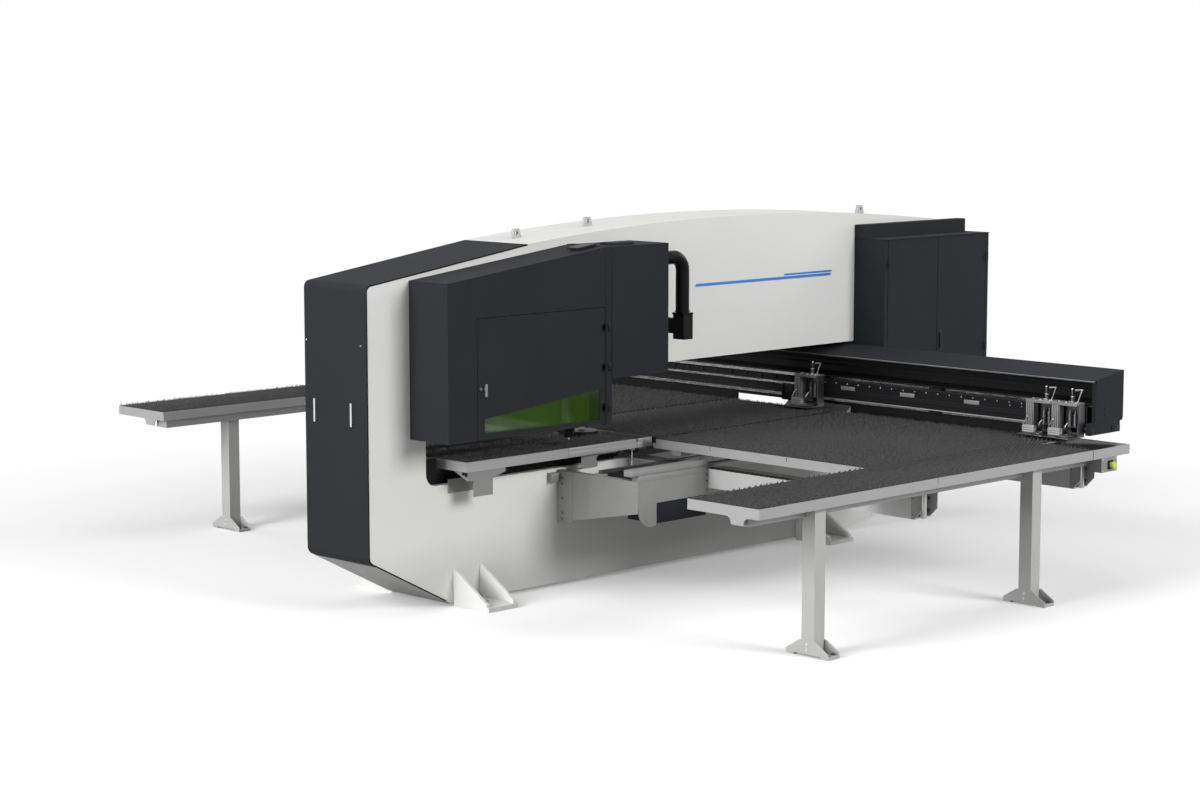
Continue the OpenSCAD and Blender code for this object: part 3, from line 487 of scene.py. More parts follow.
# tables with brushes, the bodies that they ride on and the CAD nodes that the brushes replace
FIELDS = (
    ("strip_front", "base", "brush_fixed"),
    ("strip_rear", "base", "brush_fixed"),
    ("strip_left", "base", "brush_fixed"),
    ("centre", "base", "brush_fixed"),
    ("outer_right", "base", "brush_fixed"),
    ("outer_left", "base", "brush_fixed"),
    ("moving_right", "y_stage", "brush_moving"),
    ("moving_left", "y_stage", "brush_moving"),
    ("flap", "flap", "trap_flap"),
    ("throat", "base", None),
    ("corner", "base", None),
    ("die_front", "base", None),
    ("bridge_right", "base", None),
    ("bridge_left", "base", None),
)
FAR_SIDE = ("strip_left", "moving_left")


def slab(x0, x1, y0, y1, z0, z1):
    """Corners and triangles of a flat box."""
    corners = ((x0, y0), (x1, y0), (x1, y1), (x0, y1))
    quads = ((0, 3, 2, 1), (4, 5, 6, 7), (0, 1, 5, 4), (1, 2, 6, 5), (2, 3, 7, 6), (3, 0, 4, 7))
    tris = [t for a, b, c, d in quads for t in ((a, b, c), (a, c, d))]
    return np.array([[x, y, z] for z in (z0, z1) for x, y in corners]), np.array(tris)


def tuft_feet(x0, x1, y0, y1, pitch):
    """Middles of the tufts, in staggered rows."""
    nx = max(2, int((x1 - x0) / pitch))
    ny = max(2, int((y1 - y0) / pitch))
    gx, gy = np.linspace(x0, x1, nx), np.linspace(y0, y1, ny)
    X, Y = np.meshgrid(gx, gy)
    X = X + (np.arange(ny)[:, None] % 2) * (gx[1] - gx[0]) * 0.5
    keep = X < x1 + 1e-6
    return np.stack([X[keep], Y[keep]], 1)


def tufts(feet, low, high, rng):
    """Corners and triangles of all strands, each a slim pyramid; tips stay between low and high."""
    n = len(feet)
    i = np.arange(n)
    short = np.where(rng.random(n) < SHORT_SHARE, rng.uniform(*SHORT_BY, n), 0.0)
    verts, faces = [], []
    for k in range(STRANDS):
        ang = rng.uniform(0, 2 * np.pi, n)
        way = np.stack([np.cos(ang), np.sin(ang)], 1)
        foot = feet + way * FOOT_REACH
        tip = np.clip(feet + way * rng.uniform(*TIP_REACH, n)[:, None], low, high)
        tip_z = BRUSH_TOP - short - rng.uniform(0.0, TIP_UNEVEN, n)
        r = rng.uniform(*STRAND_R, n)
        for j in range(3):
            a = ang + 2 * np.pi * j / 3
            x, y = foot[:, 0] + r * np.cos(a), foot[:, 1] + r * np.sin(a)
            verts.append(np.stack([x, y, np.full(n, FOOT_Z)], 1))
        verts.append(np.stack([tip[:, 0], tip[:, 1], tip_z], 1))
        v0, v1, v2, v3 = ((4 * k + j) * n + i for j in range(4))
        faces += [np.stack([a, b, v3], 1) for a, b in ((v0, v1), (v1, v2), (v2, v0))]
    return verts, faces


def triangle_mesh(name, v, f):
    me = bpy.data.meshes.new(name)
    me.vertices.add(len(v))
    me.vertices.foreach_set("co", v.astype(np.float32).ravel())
    me.loops.add(len(f) * 3)
    me.loops.foreach_set("vertex_index", f.astype(np.int32).ravel())
    me.polygons.add(len(f))
    me.polygons.foreach_set("loop_start", np.arange(0, len(f) * 3, 3, dtype=np.int32))
    me.update(calc_edges=True)
    me.validate()
    return me


def brush_field(table, body, pitch, seed):
    """Tufts over the whole table, a thin foot plate below them and the filling between the rims."""
    x0, x1, y0, y1 = TABLES[table]
    free = FREE_SIDES.get(table, (0, 0, 0, 0))
    edge = [RIM_T + 0.003 if side else 0.003 for side in free]
    lip = [RIM_T + FIT if side else 0.0006 for side in free]
    well = [RIM_T + FIT] * 4
    feet = tuft_feet(x0 + edge[0], x1 - edge[1], y0 + edge[2], y1 - edge[3], pitch)
    verts, faces = tufts(feet, (x0 + 0.001, y0 + 0.001), (x1 - 0.001, y1 - 0.001),
                         np.random.default_rng(seed))
    for gap, z0, z1 in ((well, BRUSH_LOW + FIT, RIM_TOP), (lip, RIM_TOP + 0.0001, RIM_TOP + 0.0015)):
        v, f = slab(x0 + gap[0], x1 - gap[1], y0 + gap[2], y1 - gap[3], z0, z1)
        faces.append(f + sum(len(part) for part in verts))
        verts.append(v)
    name = "bristles_" + table
    return place(name, triangle_mesh(name, np.concatenate(verts), np.concatenate(faces)), "brush", body)


def brushes():
    for seed, (table, body, node) in enumerate(FIELDS):
        pitch = FAR_PITCH if table in FAR_SIDE else NEAR_PITCH
        field = brush_field(table, body, pitch, seed + 1)
        if node:
            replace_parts(field, node)


# trays under brushes that the CAD has no tray for, or joins with its brush pad

def tray(table, low=RIM_LOW):
    """A floor with a rim, as the tables have."""
    x0, x1, y0, y1 = TABLES[table]
    rim_foot = BRUSH_LOW - 0.004
    p = Piece()
    p.box(x0, x1, y0, y1, low, BRUSH_LOW, 0.0015)
    for a, b in ((x0, x0 + RIM_T), (x1 - RIM_T, x1)):
        p.box(a, b, y0, y1, rim_foot, RIM_TOP, 0.0012)
    for a, b in ((y0, y0 + RIM_T), (y1 - RIM_T, y1)):
        p.box(x0, x1, a, b, rim_foot, RIM_TOP, 0.0012)
    return p


def throat_trays():
    """Trays on posts that stand on the floor of the throat."""
    half = 0.020
    posts = {
        "throat": [(x, y) for x in (-0.090, 0.090) for y in (-1.720, -1.320, -0.920)],
        "die_front": [(-0.100, -0.775), (0.100, -0.775)],
        "bridge_right": [(0.165, -0.216), (0.235, -0.216)],
        "bridge_left": [(-0.165, -0.216), (-0.235, -0.216)],
    }
    for table, spots in posts.items():
        p = tray(table)
        for x, y in spots:
            p.box(x - half, x + half, y - half, y + half, THROAT_FLOOR, RIM_LOW + 0.001, 0.002)
        p.done(table + "_tray", "table_rim", "base")


def corner_tray():
    """Tray between the outer table and its end plate, on two tabs of the end plate."""
    p = tray("corner", 0.905)
    x1 = TABLES["corner"][1]
    for y in (1.480, 1.680):
        p.box(x1 - 0.030, x1 + 0.004, y, y + 0.030, 0.893, 0.907, 0.002)
    p.done("corner_tray", "table_rim", "base")


def flap_tray():
    """The flap's own tray, with two hinge knuckles."""
    y0, y1 = TABLES["flap"][2:]
    hinge_x, hinge_z, hinge_r, knuckle = 0.322, 0.8797, 0.007, 0.046
    p = tray("flap")
    for y in (y0 + 0.040, y1 - 0.070):
        p.rod((hinge_x, y, hinge_z), (hinge_x, y + knuckle, hinge_z), hinge_r, seg=20)
        p.box(hinge_x - 0.005, hinge_x + 0.005, y, y + knuckle, hinge_z, RIM_LOW + 0.002)
    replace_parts(p.done("flap_tray", "table_rim", "flap"), "trap_flap")


def flap_bracket():
    """Cut-out plate under the flap, with a bent foot."""
    x0, x1 = 0.436, 0.442
    y0, y1, foot_y, foot_z = -0.783, -0.450, -0.640, 0.795
    outline = [(y0, RIM_LOW), (y0, foot_z + 0.005), (y0 + 0.006, foot_z), (foot_y, foot_z)]
    outline += arc(-0.615, 0.842, 0.030, 240, 90, 10)
    outline += [(y1, 0.872), (y1, RIM_LOW)]
    p = Piece()
    p.prism(outline, 0, x0, x1)
    p.box(0.412, x1, y0, foot_y, foot_z - 0.002, foot_z + 0.002, 0.001)
    p.screw((x1, -0.765, 0.868), RIGHT, 0.006, 0.004)
    p.done("flap_bracket", "darker_grey_and_painted_shade", "flap")


def flap_damper():
    x, y = 0.436, -0.300
    p = Piece()
    p.rod((x, y, 0.760), (x, y, RIM_LOW), 0.004, seg=12)
    p.rod((x, y, 0.740), (x, y, 0.790), 0.008, seg=16)
    p.box(x - 0.012, x + 0.026, y - 0.012, y + 0.004, 0.874, RIM_LOW, 0.002)
    p.done("flap_damper", "aluminium", "flap")


# frame: seams, screws, plain stripe, anchor bolts, black flaps as painted shade in the throat

def cover_edge(d):
    """Edge of the front cover seen from the side, moved inwards by d."""
    fall, nose = math.radians(27.55), 0.68
    low = arc(-2.445, 0.404, 0.060 - d, 242.45, 180)
    tail = (low[0][0] + nose * math.cos(fall), low[0][1] - nose * math.sin(fall))
    return [tail] + low + arc(-2.460, 2.0614, 0.045 - d, 180, 90) + [(-1.138, 2.2957 - d)]


def cover_trim():
    p = Piece()
    for s in (1, -1):
        p.band(cover_edge(0.0015), cover_edge(0.010), 0, s * SIDE_FACE, s * (SIDE_FACE + 0.0012))
    p.done("cover_seam", "black_rubber", "base")
    p = Piece()
    for x in (-0.284, 0.250):
        p.screw((x, COVER_FACE, 1.728), FRONT, 0.0055, 0.003)
    p.done("cover_screws", "machined_steel", "base")


def plain_stripe():
    """Two slanted bars, a long one and a short one above its end."""
    p = Piece()
    for y0, y1, z0, z1, slant in ((0.456, 1.905, 1.922, 1.942, 0.010), (1.390, 1.918, 1.948, 1.962, 0.007)):
        p.prism([(y0, z0), (y1, z0), (y1 + slant, z1), (y0 + slant, z1)], 0, SIDE_FACE, SIDE_FACE + 0.0008)
    p.done("plain_stripe", "blue_stripe", "base")


def anchor_bolts():
    p = Piece()
    for x in (-0.5, 0.5):
        for y in (-1.675, 1.675):
            p.bolt((x, y, 0.030), 0.020)
    p.done("anchor_bolts", "zinc_plate", "base")


def throat_painted_shade():
    """Black rubber flaps along both sides of the throat, lower under the strip tables; painted shade that
    keeps the inside of the throat dark.
    """
    first, count, wide, gap, half_t = -2.022, 28, 0.060, 0.0015, 0.0015
    tables_from = -1.842
    p = Piece()
    for x in (0.259, -0.259):
        for i in range(count):
            y = first + i * (wide + gap)
            top = 0.966 if y + wide < tables_from else 0.872
            p.box(x - half_t, x + half_t, y, y + wide, THROAT_FLOOR + 0.002, top)
    p.done("throat_painted_shade", "black_rubber", "base")


# head enclosure: roof lid, hinges, door lock, window, laser bellows

def roof_z(y):
    """Height of the sloping roof."""
    return 2.116 + (y + 2.157) * (2.277 - 2.116) / 1.376


def roof_lid():
    x0, x1, y0, y1 = 0.500, 0.600, -0.970, -0.800
    p = Piece()
    for inset, low, high in ((0.012, 0.0, 0.012), (0.0, 0.011, 0.022)):
        ya, yb = y0 + inset, y1 - inset
        za, zb = roof_z(ya), roof_z(yb)
        p.prism([(ya, za + low), (yb, zb + low), (yb, zb + high), (ya, za + high)],
                0, x0 + inset, x1 - inset)
    p.done("roof_lid", "black_paint", "base")


def pillar_seams():
    """Dark lines on the pillar, beside the door and beside the tall cover."""
    p = Piece()
    p.box(0.667, 0.6690, -0.7835, -0.7785, 1.120, 2.258, 0.0004)
    p.box(0.667, 0.6692, -0.7310, -0.7225, 1.412, 2.268, 0.0004)
    p.done("pillar_seams", "black_rubber", "base")


def door_hinges():
    """Covers on the pillar and leaves on the door, with their screws."""
    half, cover_t, leaf_t = 0.026, 0.008, 0.003
    covers, leaves = Piece(), Piece()
    for z in (1.228, 1.492, 1.754):
        covers.box(DOOR_FACE, DOOR_FACE + cover_t, -0.7655, -0.7380, z - half, z + half, 0.0015)
        leaves.box(DOOR_FACE, DOOR_FACE + leaf_t, -0.8200, -0.7925, z - half, z + half, 0.0012)
        for dz in (-0.015, 0.015):
            covers.screw((DOOR_FACE + cover_t, -0.752, z + dz), RIGHT, 0.004, 0.0018)
            leaves.screw((DOOR_FACE + leaf_t, -0.806, z + dz), RIGHT, 0.004, 0.0018)
    covers.done("hinge_covers", "black_plastic", "base")
    leaves.done("hinge_door_leaves", "black_plastic", "head_door")


def door_lock():
    """Plate behind the latch lever, and the round lock beside it."""
    y, z, disc_t = -1.884, 1.442, 0.0022
    p = Piece()
    p.box(DOOR_FACE, DOOR_FACE + 0.002, -1.860, -1.838, 1.405, 1.470, 0.0008)
    p.rod((DOOR_FACE, y, z), (DOOR_FACE + disc_t, y, z), 0.013, 0.012, seg=24)
    p.done("lock_plate", "black_plastic", "head_door")
    p = Piece()
    p.ring((DOOR_FACE + disc_t, y, z), RIGHT, 0.0095, 0.0014)
    p.screw((DOOR_FACE + 0.0010, y, z), RIGHT, 0.0055, 0.0022)
    p.done("lock_ring", "dark_steel", "head_door")


def window():
    """Gasket round the glass, a darker end of the pane painted as shade in front of the post, and the post
    behind it.
    """
    y0, y1 = -1.853, -0.834
    high0, high1 = 1.250, 1.352
    slope = (high1 - high0) / (y1 - y0)
    pane = [(y0, 1.159), (y1, 1.150), (y1, high1), (y0, high0)]
    gasket = [(-1.861, 1.151), (-0.826, 1.142), (-0.826, 1.361), (-1.861, 1.257)]
    p = Piece()
    p.band(gasket, pane, 0, DOOR_FACE, DOOR_FACE + 0.0010, closed=True)
    p.done("window_gasket", "dark_paint", "head_door")
    p = Piece()
    # the darker band on the glass in front of the post is painted shade
    low, b = 1.1515, y1 - 0.002
    for a, thick in ((-0.930, 0.0004), (-0.905, 0.0010)):
        p.prism([(a, low), (b, low), (b, high1 - slope * (y1 - b)), (a, high1 - slope * (y1 - a))],
                0, GLASS_FACE, GLASS_FACE + thick)
    p.done("window_painted_shade", "green_painted_shade", "head_door")
    p = Piece()
    p.box(0.636, 0.650, -0.945, -0.835, 1.135, 1.365, 0.003)
    p.box(0.600, 0.640, -0.945, -0.935, 1.135, 1.365, 0.003)
    p.done("window_post", "black_paint", "base")


def laser_bellows():
    x, y, first, folds, pitch = 0.419, -0.880, 1.022, 9, 0.0105
    p = Piece()
    for i in range(folds):
        p.ring((x, y, first + i * pitch), UP, 0.029 + 0.0012 * i, 0.0062, 28, 8)
    p.done("laser_bellows", "black_rubber", "laser")


# smooth sleeve over the conduit, with clips where it goes in and out

def conduit_sleeve():
    x, y, z, bend, r = 0.545, 0.074, 2.165, 0.094, 0.0465
    down = 1.774
    route = [(x, -0.190, z), (x, -0.110, z)]
    route += [(x, *q) for q in arc(y - bend, z - bend, bend, 90, 0, 14)]
    route += [(x, y, 1.900), (x, y, down)]
    p = Piece()
    p.tube(route, r, seg=28)
    for c, axis in (((x, -0.152, z), BACK), ((x, y, down + 0.022), UP)):
        p.ring(c, axis, r + 0.001, 0.005, 32, 8)
    p.box(0.492, 0.598, 0.026, 0.128, 1.772, 1.786, 0.003)
    p.done("conduit_sleeve", "gloss_black", "base", 50.0)


# cabinet: plate behind the handle, with its lock

def handle_plate():
    face, y, lock_z = 0.595, 2.8445, 1.352
    p = Piece()
    p.box(face, face + 0.002, 2.832, 2.857, 1.325, 1.478, 0.0008)
    p.rod((face, y, lock_z), (face + 0.004, y, lock_z), 0.009, seg=20)
    p.done("handle_plate", "black_plastic", "cab_door_rear")


# bracket between the frame and the front arm, with its panel, channel and bin

def bracket_plates():
    """Flanges on the web and a stub on the frame, with their bolts."""
    flange_t = 0.0025
    p = Piece()
    p.box(SIDE_FACE, 0.452, BRACKET_WEB - flange_t, BRACKET_WEB, 0.440, 0.779, 0.001)
    p.box(SIDE_FACE, BRACKET_END, BRACKET_WEB, BRACKET_WEB + 0.045, 0.780, 0.785, 0.0015)
    p.box(SIDE_FACE, 0.345, -0.968, -0.892, 0.712, 0.772, 0.004)
    p.screw((1.018, BRACKET_WEB, 0.709), FRONT, 0.008, 0.003)
    p.done("bracket_flange", "darker_grey_and_painted_shade", "base")
    p = Piece()
    for z in (0.737, 0.697, 0.600, 0.503, 0.462):
        p.screw((0.360, BRACKET_WEB - flange_t, z), FRONT, 0.010, 0.004)
    for z in (0.762, 0.722, 0.662):
        p.screw((BRACKET_END, -0.224, z), RIGHT, 0.008, 0.003)
    p.done("bracket_bolts", "dark_steel", "base")


def chip_channel():
    """Open channel on the bracket's end panel, with a chain in it."""
    x0, x1, wall = 0.985, BRACKET_END, 0.005
    y0, y1, z0, z1 = -0.935, -0.212, 0.820, 0.862
    p = Piece()
    p.box(x0, x1, y0, y1, z0, z0 + wall, 0.001)
    for x in (x0, x1 - wall):
        p.box(x, x + wall, y0, y1, z0, z1, 0.001)
    p.box(x0 + wall, x1 - wall, y0, y0 + wall, z0, z1, 0.001)
    p.box(1.000, 1.0545, -0.872, y1, 0.780, z0 + 0.001, 0.002)
    p.done("chip_channel", "darker_grey_and_painted_shade", "base")
    links, pitch, link = 24, 0.029, 0.021
    p = Piece()
    p.box(x0 + 0.006, x1 - 0.006, y0 + 0.006, y1, z0 + wall, z0 + 0.012, 0.002)
    for i in range(links):
        y = y0 + 0.02 + i * pitch
        p.box(x0 + 0.009, x1 - 0.009, y, y + link, z0 + 0.010, z0 + 0.026, 0.003)
    p.done("channel_chain", "black_plastic", "base")


def slug_bin():
    """Hanger with a rounded corner, and the open bin on it."""
    outline = [(-0.868, 0.629), (-0.868, 0.604)]
    outline += arc(-0.738, 0.604, 0.130, 180, 262, 8)
    outline += [(-0.708, 0.475), (-0.700, 0.485), (-0.700, 0.629)]
    p = Piece()
    p.prism(outline, 0, 1.045, 1.053)
    p.done("bin_hanger", "darker_grey_and_painted_shade", "base")
    x0, x1, y0, y1, z0, z1, wall = 0.780, 1.040, -0.690, -0.215, 0.490, 0.622, 0.004
    p = Piece()
    p.box(x0, x1, y0, y1, z0, z0 + wall, 0.001)
    for a, b, c, d in ((x0, x0 + wall, y0, y1), (x1 - wall, x1, y0, y1), (x0, x1, y0, y0 + wall),
                       (x0, x1, y1 - wall, y1)):
        p.box(a, b, c, d, z0, z1, 0.001)
    p.box(x1 - 0.002, 1.048, y0, y0 + 0.050, z1 - 0.060, z1, 0.002)
    p.done("slug_bin", "dark_paint", "base")


def chute_and_painted_shade():
    """Sloping dark sheet with two raised edges, in front of the white frame; its darkness is partly the
    sheet's own and partly painted shade.
    """
    x0, x1, z0, z1, sheet, edge = 0.500, 0.984, 0.748, 0.772, 0.004, 0.018
    y0, y1 = -0.868, -0.290
    p = Piece()
    for a, b, high in ((y0, y1, sheet), (y0, y0 + sheet, edge), (y1 - sheet, y1, edge)):
        p.prism([(x0, z0), (x1, z1), (x1, z1 + high), (x0, z0 + high)], 1, a, b)
    p.done("chute_and_painted_shade", "dark_paint", "base")


def arm_cover():
    """Cover sheet on the front arm and the ribbed duct along it."""
    x0, x1, deck = 1.060, 2.200, 0.800
    p = Piece()
    p.box(x0, x1, -0.190, -0.055, deck, deck + 0.003, 0.001)
    for x in (1.130, 1.560, 1.990):
        p.screw((x, -0.160, deck + 0.003), UP, 0.007, 0.004)
    p.done("arm_cover", "darker_grey_and_painted_shade", "base")
    ribs, pitch, rib = 26, 0.043, 0.030
    p = Piece()
    p.box(x0, x1, -0.206, -0.192, deck, deck + 0.013, 0.003)
    for i in range(ribs):
        x = x0 + 0.015 + i * pitch
        p.box(x, x + rib, -0.208, -0.190, deck - 0.001, deck + 0.0145, 0.002)
    p.done("arm_duct", "black_plastic", "base")


# arms and legs: cheek plates, bolts

def arm_cheeks():
    long, cut, low, high, t = 0.085, 0.062, 0.6725, 0.8295, 0.004
    p, bolts = Piece(), Piece()
    for y in (-0.207, 1.470):
        for s, tip in ((1, 2.842), (-1, -3.020)):
            back = tip - s * long
            p.prism([(back, low), (tip - s * cut, low), (tip, low + cut), (tip, high), (back, high)],
                    1, y - t, y)
            for z in (0.790, 0.712):
                bolts.screw((tip - s * 0.065, y + 0.149, z), FRONT, 0.011, 0.006)
            for z in (0.800, 0.700):
                bolts.screw((back + s * 0.014, y - t, z), FRONT, 0.006, 0.003)
    p.done("arm_cheeks", "darker_grey_and_painted_shade", "base")
    bolts.done("arm_bolts", "dark_steel", "base")


def leg_bolts():
    """Floor bolts of the shoes, then the screws and the top plates of the legs."""
    half = 0.0495
    p = Piece()
    for x, y in LEGS:
        for dx in (-0.133, 0.133):
            for dy in (-0.028, 0.028):
                p.bolt((x + dx, y + dy, 0.020), 0.011)
    p.done("shoe_bolts", "dark_steel", "base")
    p = Piece()
    for x, y in LEGS:
        for z in (0.040, 0.072):
            p.screw((x, y - 0.053, z), FRONT, 0.008, 0.005)
        p.box(x - half, x + half, y - half, y + half, 0.876, 0.8868, 0.001)
    p.done("leg_fixings", "zinc_plate", "base")


# tables: seams in the rims, painted shade in the gaps, end plate, stop button

def gap_shade_strip(p, table):
    """Black strip on the right rim face of a table, painted shade in the gap beside the next table."""
    x, y0, y1 = TABLES[table][1:]
    p.box(x, x + 0.002, y0 + 0.002, y1 - 0.002, RIM_LOW + 0.002, RIM_TOP + 0.001, 0.0005)


def table_seams():
    """Joints and corner caps of the moving tables, then joints and clips of the fixed ones, with strips of
    painted shade in the gaps beside the left moving table and the centre table.
    """
    p = Piece()
    for x in (1.075, 1.743):
        p.box(x - 0.002, x + 0.002, -0.2158, -0.2145, RIM_LOW + 0.034, RIM_TOP, 0.0003)
    p.box(0.5535, 0.578, -0.2240, -0.2145, 0.924, 0.965, 0.002)
    p.box(0.5485, 0.560, -0.2240, -0.1900, 0.924, 0.965, 0.002)
    gap_shade_strip(p, "moving_left")
    p.done("rim_seams_and_gap_shade", "black_rubber", "y_stage")
    p = Piece()
    p.box(2.9602, 2.9618, -0.209, -0.205, RIM_LOW + 0.030, RIM_TOP, 0.0003)
    p.box(2.560, 2.9625, 1.4312, 1.4338, RIM_LOW + 0.002, RIM_TOP - 0.001, 0.0003)
    gap_shade_strip(p, "centre")
    for y in (-1.500, -1.845):
        p.box(0.440, 0.480, y, y + 0.016, 0.868, 0.8865, 0.002)
        p.rod((0.470, y + 0.008, 0.858), (0.470, y + 0.008, 0.870), 0.006, seg=6)
    p.done("outer_seams_and_gap_shade", "black_rubber", "base")


def end_sheet():
    """Glossy sheet in the end plate, with a raised field."""
    p = Piece()
    p.box(2.5565, 2.9525, 1.4425, 1.8445, 0.9441, 0.9488, 0.0012)
    p.box(2.590, 2.920, 1.475, 1.812, 0.9486, 0.9494, 0.0003)
    p.done("end_sheet", "gloss_black", "base")


def stop_button():
    """Base plate, the button's grip with its three studs, and the screws of the box."""
    face, y, z = 2.961, 1.630, 0.836
    base_x, grip_x, stud_x0, stud_x1, stud_at = 2.9655, 2.985, 2.9965, 2.998, 0.011
    p = Piece()
    p.box(face, base_x, y - 0.032, y + 0.032, z - 0.030, z + 0.030, 0.002)
    p.ring((base_x, y, z), RIGHT, 0.0258, 0.0030)
    p.done("button_base", "black_plastic", "base")
    p = Piece()
    p.ring((grip_x, y, z), RIGHT, 0.0195, 0.0030)
    for i in range(3):
        a = 2 * math.pi * i / 3
        sy, sz = y + stud_at * math.cos(a), z + stud_at * math.sin(a)
        p.rod((stud_x0, sy, sz), (stud_x1, sy, sz), 0.003, seg=12)
    p.done("button_grip", "lime_plastic", "button")
    p = Piece()
    for sy in (1.545, 1.690):
        for sz in (0.800, 0.877):
            p.screw((face, sy, sz), RIGHT, 0.0045, 0.002)
    p.done("box_screws", "zinc_plate", "base")


# feed beam: painted highlight along the lip, end details, slots

def dress_beam():
    x0, x1 = BEAM_X
    lip_y, lip_z = 1.815, 1.352
    p = Piece()
    # two thin grey strips along the lip of the black lid: a painted highlight on its edge
    for dy0, dy1, dz0, dz1, bevel in ((-0.0016, 0.001, -0.0075, -0.003, 0.0005),
                                      (-0.0012, 0.006, -0.0120, -0.0105, 0.0004)):
        p.box(x0 + 0.002, x1 - 0.002, lip_y + dy0, lip_y + dy1, lip_z + dz0, lip_z + dz1, bevel)
    p.done("lip_painted_highlight", "darker_grey_and_painted_shade", "y_stage")
    p = Piece()
    for z in (1.157, 1.115):
        p.screw((x1, 1.951, z), RIGHT, 0.010, 0.003)
    p.box(x1, x1 + 0.003, 2.020, 2.118, 0.990, 1.034, 0.001)
    p.box(x1, x1 + 0.003, 1.770, 1.812, 0.990, 1.032, 0.001)
    for a, b in ((x1, x1 + 0.002), (x0 - 0.002, x0)):
        p.box(a, b, 1.772, 2.118, 1.052, 1.056, 0.0005)
    p.done("beam_end_fittings", "black_paint", "y_stage")
    slots, pitch, slot = 38, 0.15, 0.022
    p = Piece()
    for z in (1.236, 1.272, 1.308):
        p.box(x0 + 0.040, x1 - 0.040, 2.094, 2.100, z, z + 0.014, 0.002)
    for i in range(slots):
        x = x0 + 0.12 + i * pitch
        p.box(x, x + slot, 1.885, 1.895, 1.1245, 1.1500, 0.002)
    p.done("beam_slots", "dark_paint", "y_stage")


# clamp carriage: screws, scale plates, dark lines, end stop, bright edge

def carriage_screws():
    """An even row of screws, and the cluster between the right clamps."""
    first, count, pitch = 0.365, 18, 0.1032
    cluster = ((2.077, 1.166), (2.097, 1.172), (2.109, 1.165), (2.129, 1.172), (2.165, 1.171),
               (2.177, 1.164), (2.197, 1.172), (2.022, 1.128), (2.122, 1.128))
    p = Piece()
    for i in range(count):
        p.screw((first + i * pitch, CARRIAGE_FACE, 1.150), FRONT, 0.0058, 0.004)
    for x, z in cluster:
        p.screw((x, CARRIAGE_FACE, z), FRONT, 0.0050, 0.004)
    p.done("carriage_screws", "bright_steel", "x_carriage")


def scale_plates():
    face, long = CARRIAGE_FACE - 0.0080, 0.131
    p = Piece()
    for x in (0.517, 1.064, 1.633):
        p.box(x, x + long, face, CARRIAGE_FACE - 0.006, 1.107, 1.135, 0.0006)
        for dx in (0.010, long - 0.010):
            p.screw((x + dx, face, 1.121), FRONT, 0.004, 0.0008)
    p.done("scale_plates", "darker_grey_and_painted_shade", "x_carriage")


def carriage_trim():
    x0, x1 = CARRIAGE_X
    front = CARRIAGE_FACE
    p = Piece()
    for z in (1.078, 1.094):
        p.box(x0, x1, front - 0.004, front, z, z + 0.007, 0.001)
    p.box(x0, x1, front - 0.006, front, 1.163, 1.1745, 0.001)
    p.done("carriage_lines", "dark_paint", "x_carriage")
    p = Piece()
    stop = x0 - 0.150
    p.box(stop, x0 + 0.004, front - 0.006, front + 0.006, 0.985, 1.108, 0.002)
    p.box(stop, stop + 0.014, front - 0.014, front - 0.004, 0.990, 1.103, 0.002)
    for dx, z in ((-0.115, 1.078), (-0.050, 1.020)):
        p.rod((x0 + dx, front - 0.009, z), (x0 + dx, front - 0.004, z), 0.014, 0.013, seg=20)
    p.done("carriage_stop", "black_paint", "x_carriage")
    edge_z, half, count, pitch = 1.0345, 0.004, 16, 0.16
    p = Piece()
    p.box(x0, x1, front - 0.0088, front - 0.0008, edge_z - half, edge_z + half, 0.0012)
    for i in range(count):
        p.screw((x0 + 0.08 + i * pitch, front - 0.0088, edge_z), FRONT, 0.0022, 0.0006)
    p.done("carriage_edge", "table_rim", "x_carriage")


# clamps: ribbed columns, lower blocks, top plates, handles, levers, jaw edges

class Clamp:
    """Sizes of one clamp, worked out from xc, its place along the beam."""
    back, top, low = 1.7847, 1.188, 1.028
    deck = top + 0.0155
    tip = back - 0.190
    pivot_dx, pivot_y = 0.075, back - 0.050

    def __init__(self, name, body, jaw, xc):
        self.name, self.body, self.jaw, self.xc = name, body, jaw, xc
        self.x0, self.x1 = xc - 0.058, xc + 0.145
        self.col_x, self.col_y = self.x0 + 0.0576, self.back - 0.095


def clamp_ribs(c):
    ribs, pitch, rib, proud, sunk = 4, 0.0145, 0.0065, 0.003, 0.001
    z0, z1 = c.low + 0.004, c.top - 0.004
    p = Piece()
    for i in range(ribs):
        x = c.x0 + 0.004 + i * pitch
        p.box(x, x + rib, c.col_y - proud, c.col_y + sunk, z0, z1, 0.0012)
    for i in range(ribs):
        y = c.col_y + 0.004 + i * pitch
        p.box(c.col_x - sunk, c.col_x + proud, y, y + rib, z0, z1, 0.0012)
    p.done(c.name + "_ribs", "table_rim", c.body)


def clamp_block(c):
    front = c.back - 0.130
    p = Piece()
    for z in (0.984, 0.999, 1.014):
        p.box(c.x0 - 0.002, c.xc + 0.036, front - 0.004, front + 0.030, z, z + 0.0125, 0.002)
    p.box(c.x0, c.xc + 0.035, front, front + 0.030, 1.0265, 1.0310, 0.001)
    p.done(c.name + "_block", "grey_paint", c.body)


def clamp_top(c):
    x0, x1 = c.x0 - 0.001, c.x1 + 0.001
    p = Piece()
    p.box(x0, x1, c.back - 0.098, c.back - 0.001, c.top + 0.0120, c.deck, 0.0012)
    p.box(x0, x1, c.back - 0.099, c.back - 0.095, c.top - 0.004, c.deck, 0.0012)
    p.done(c.name + "_top", "darker_grey_and_painted_shade", c.body)


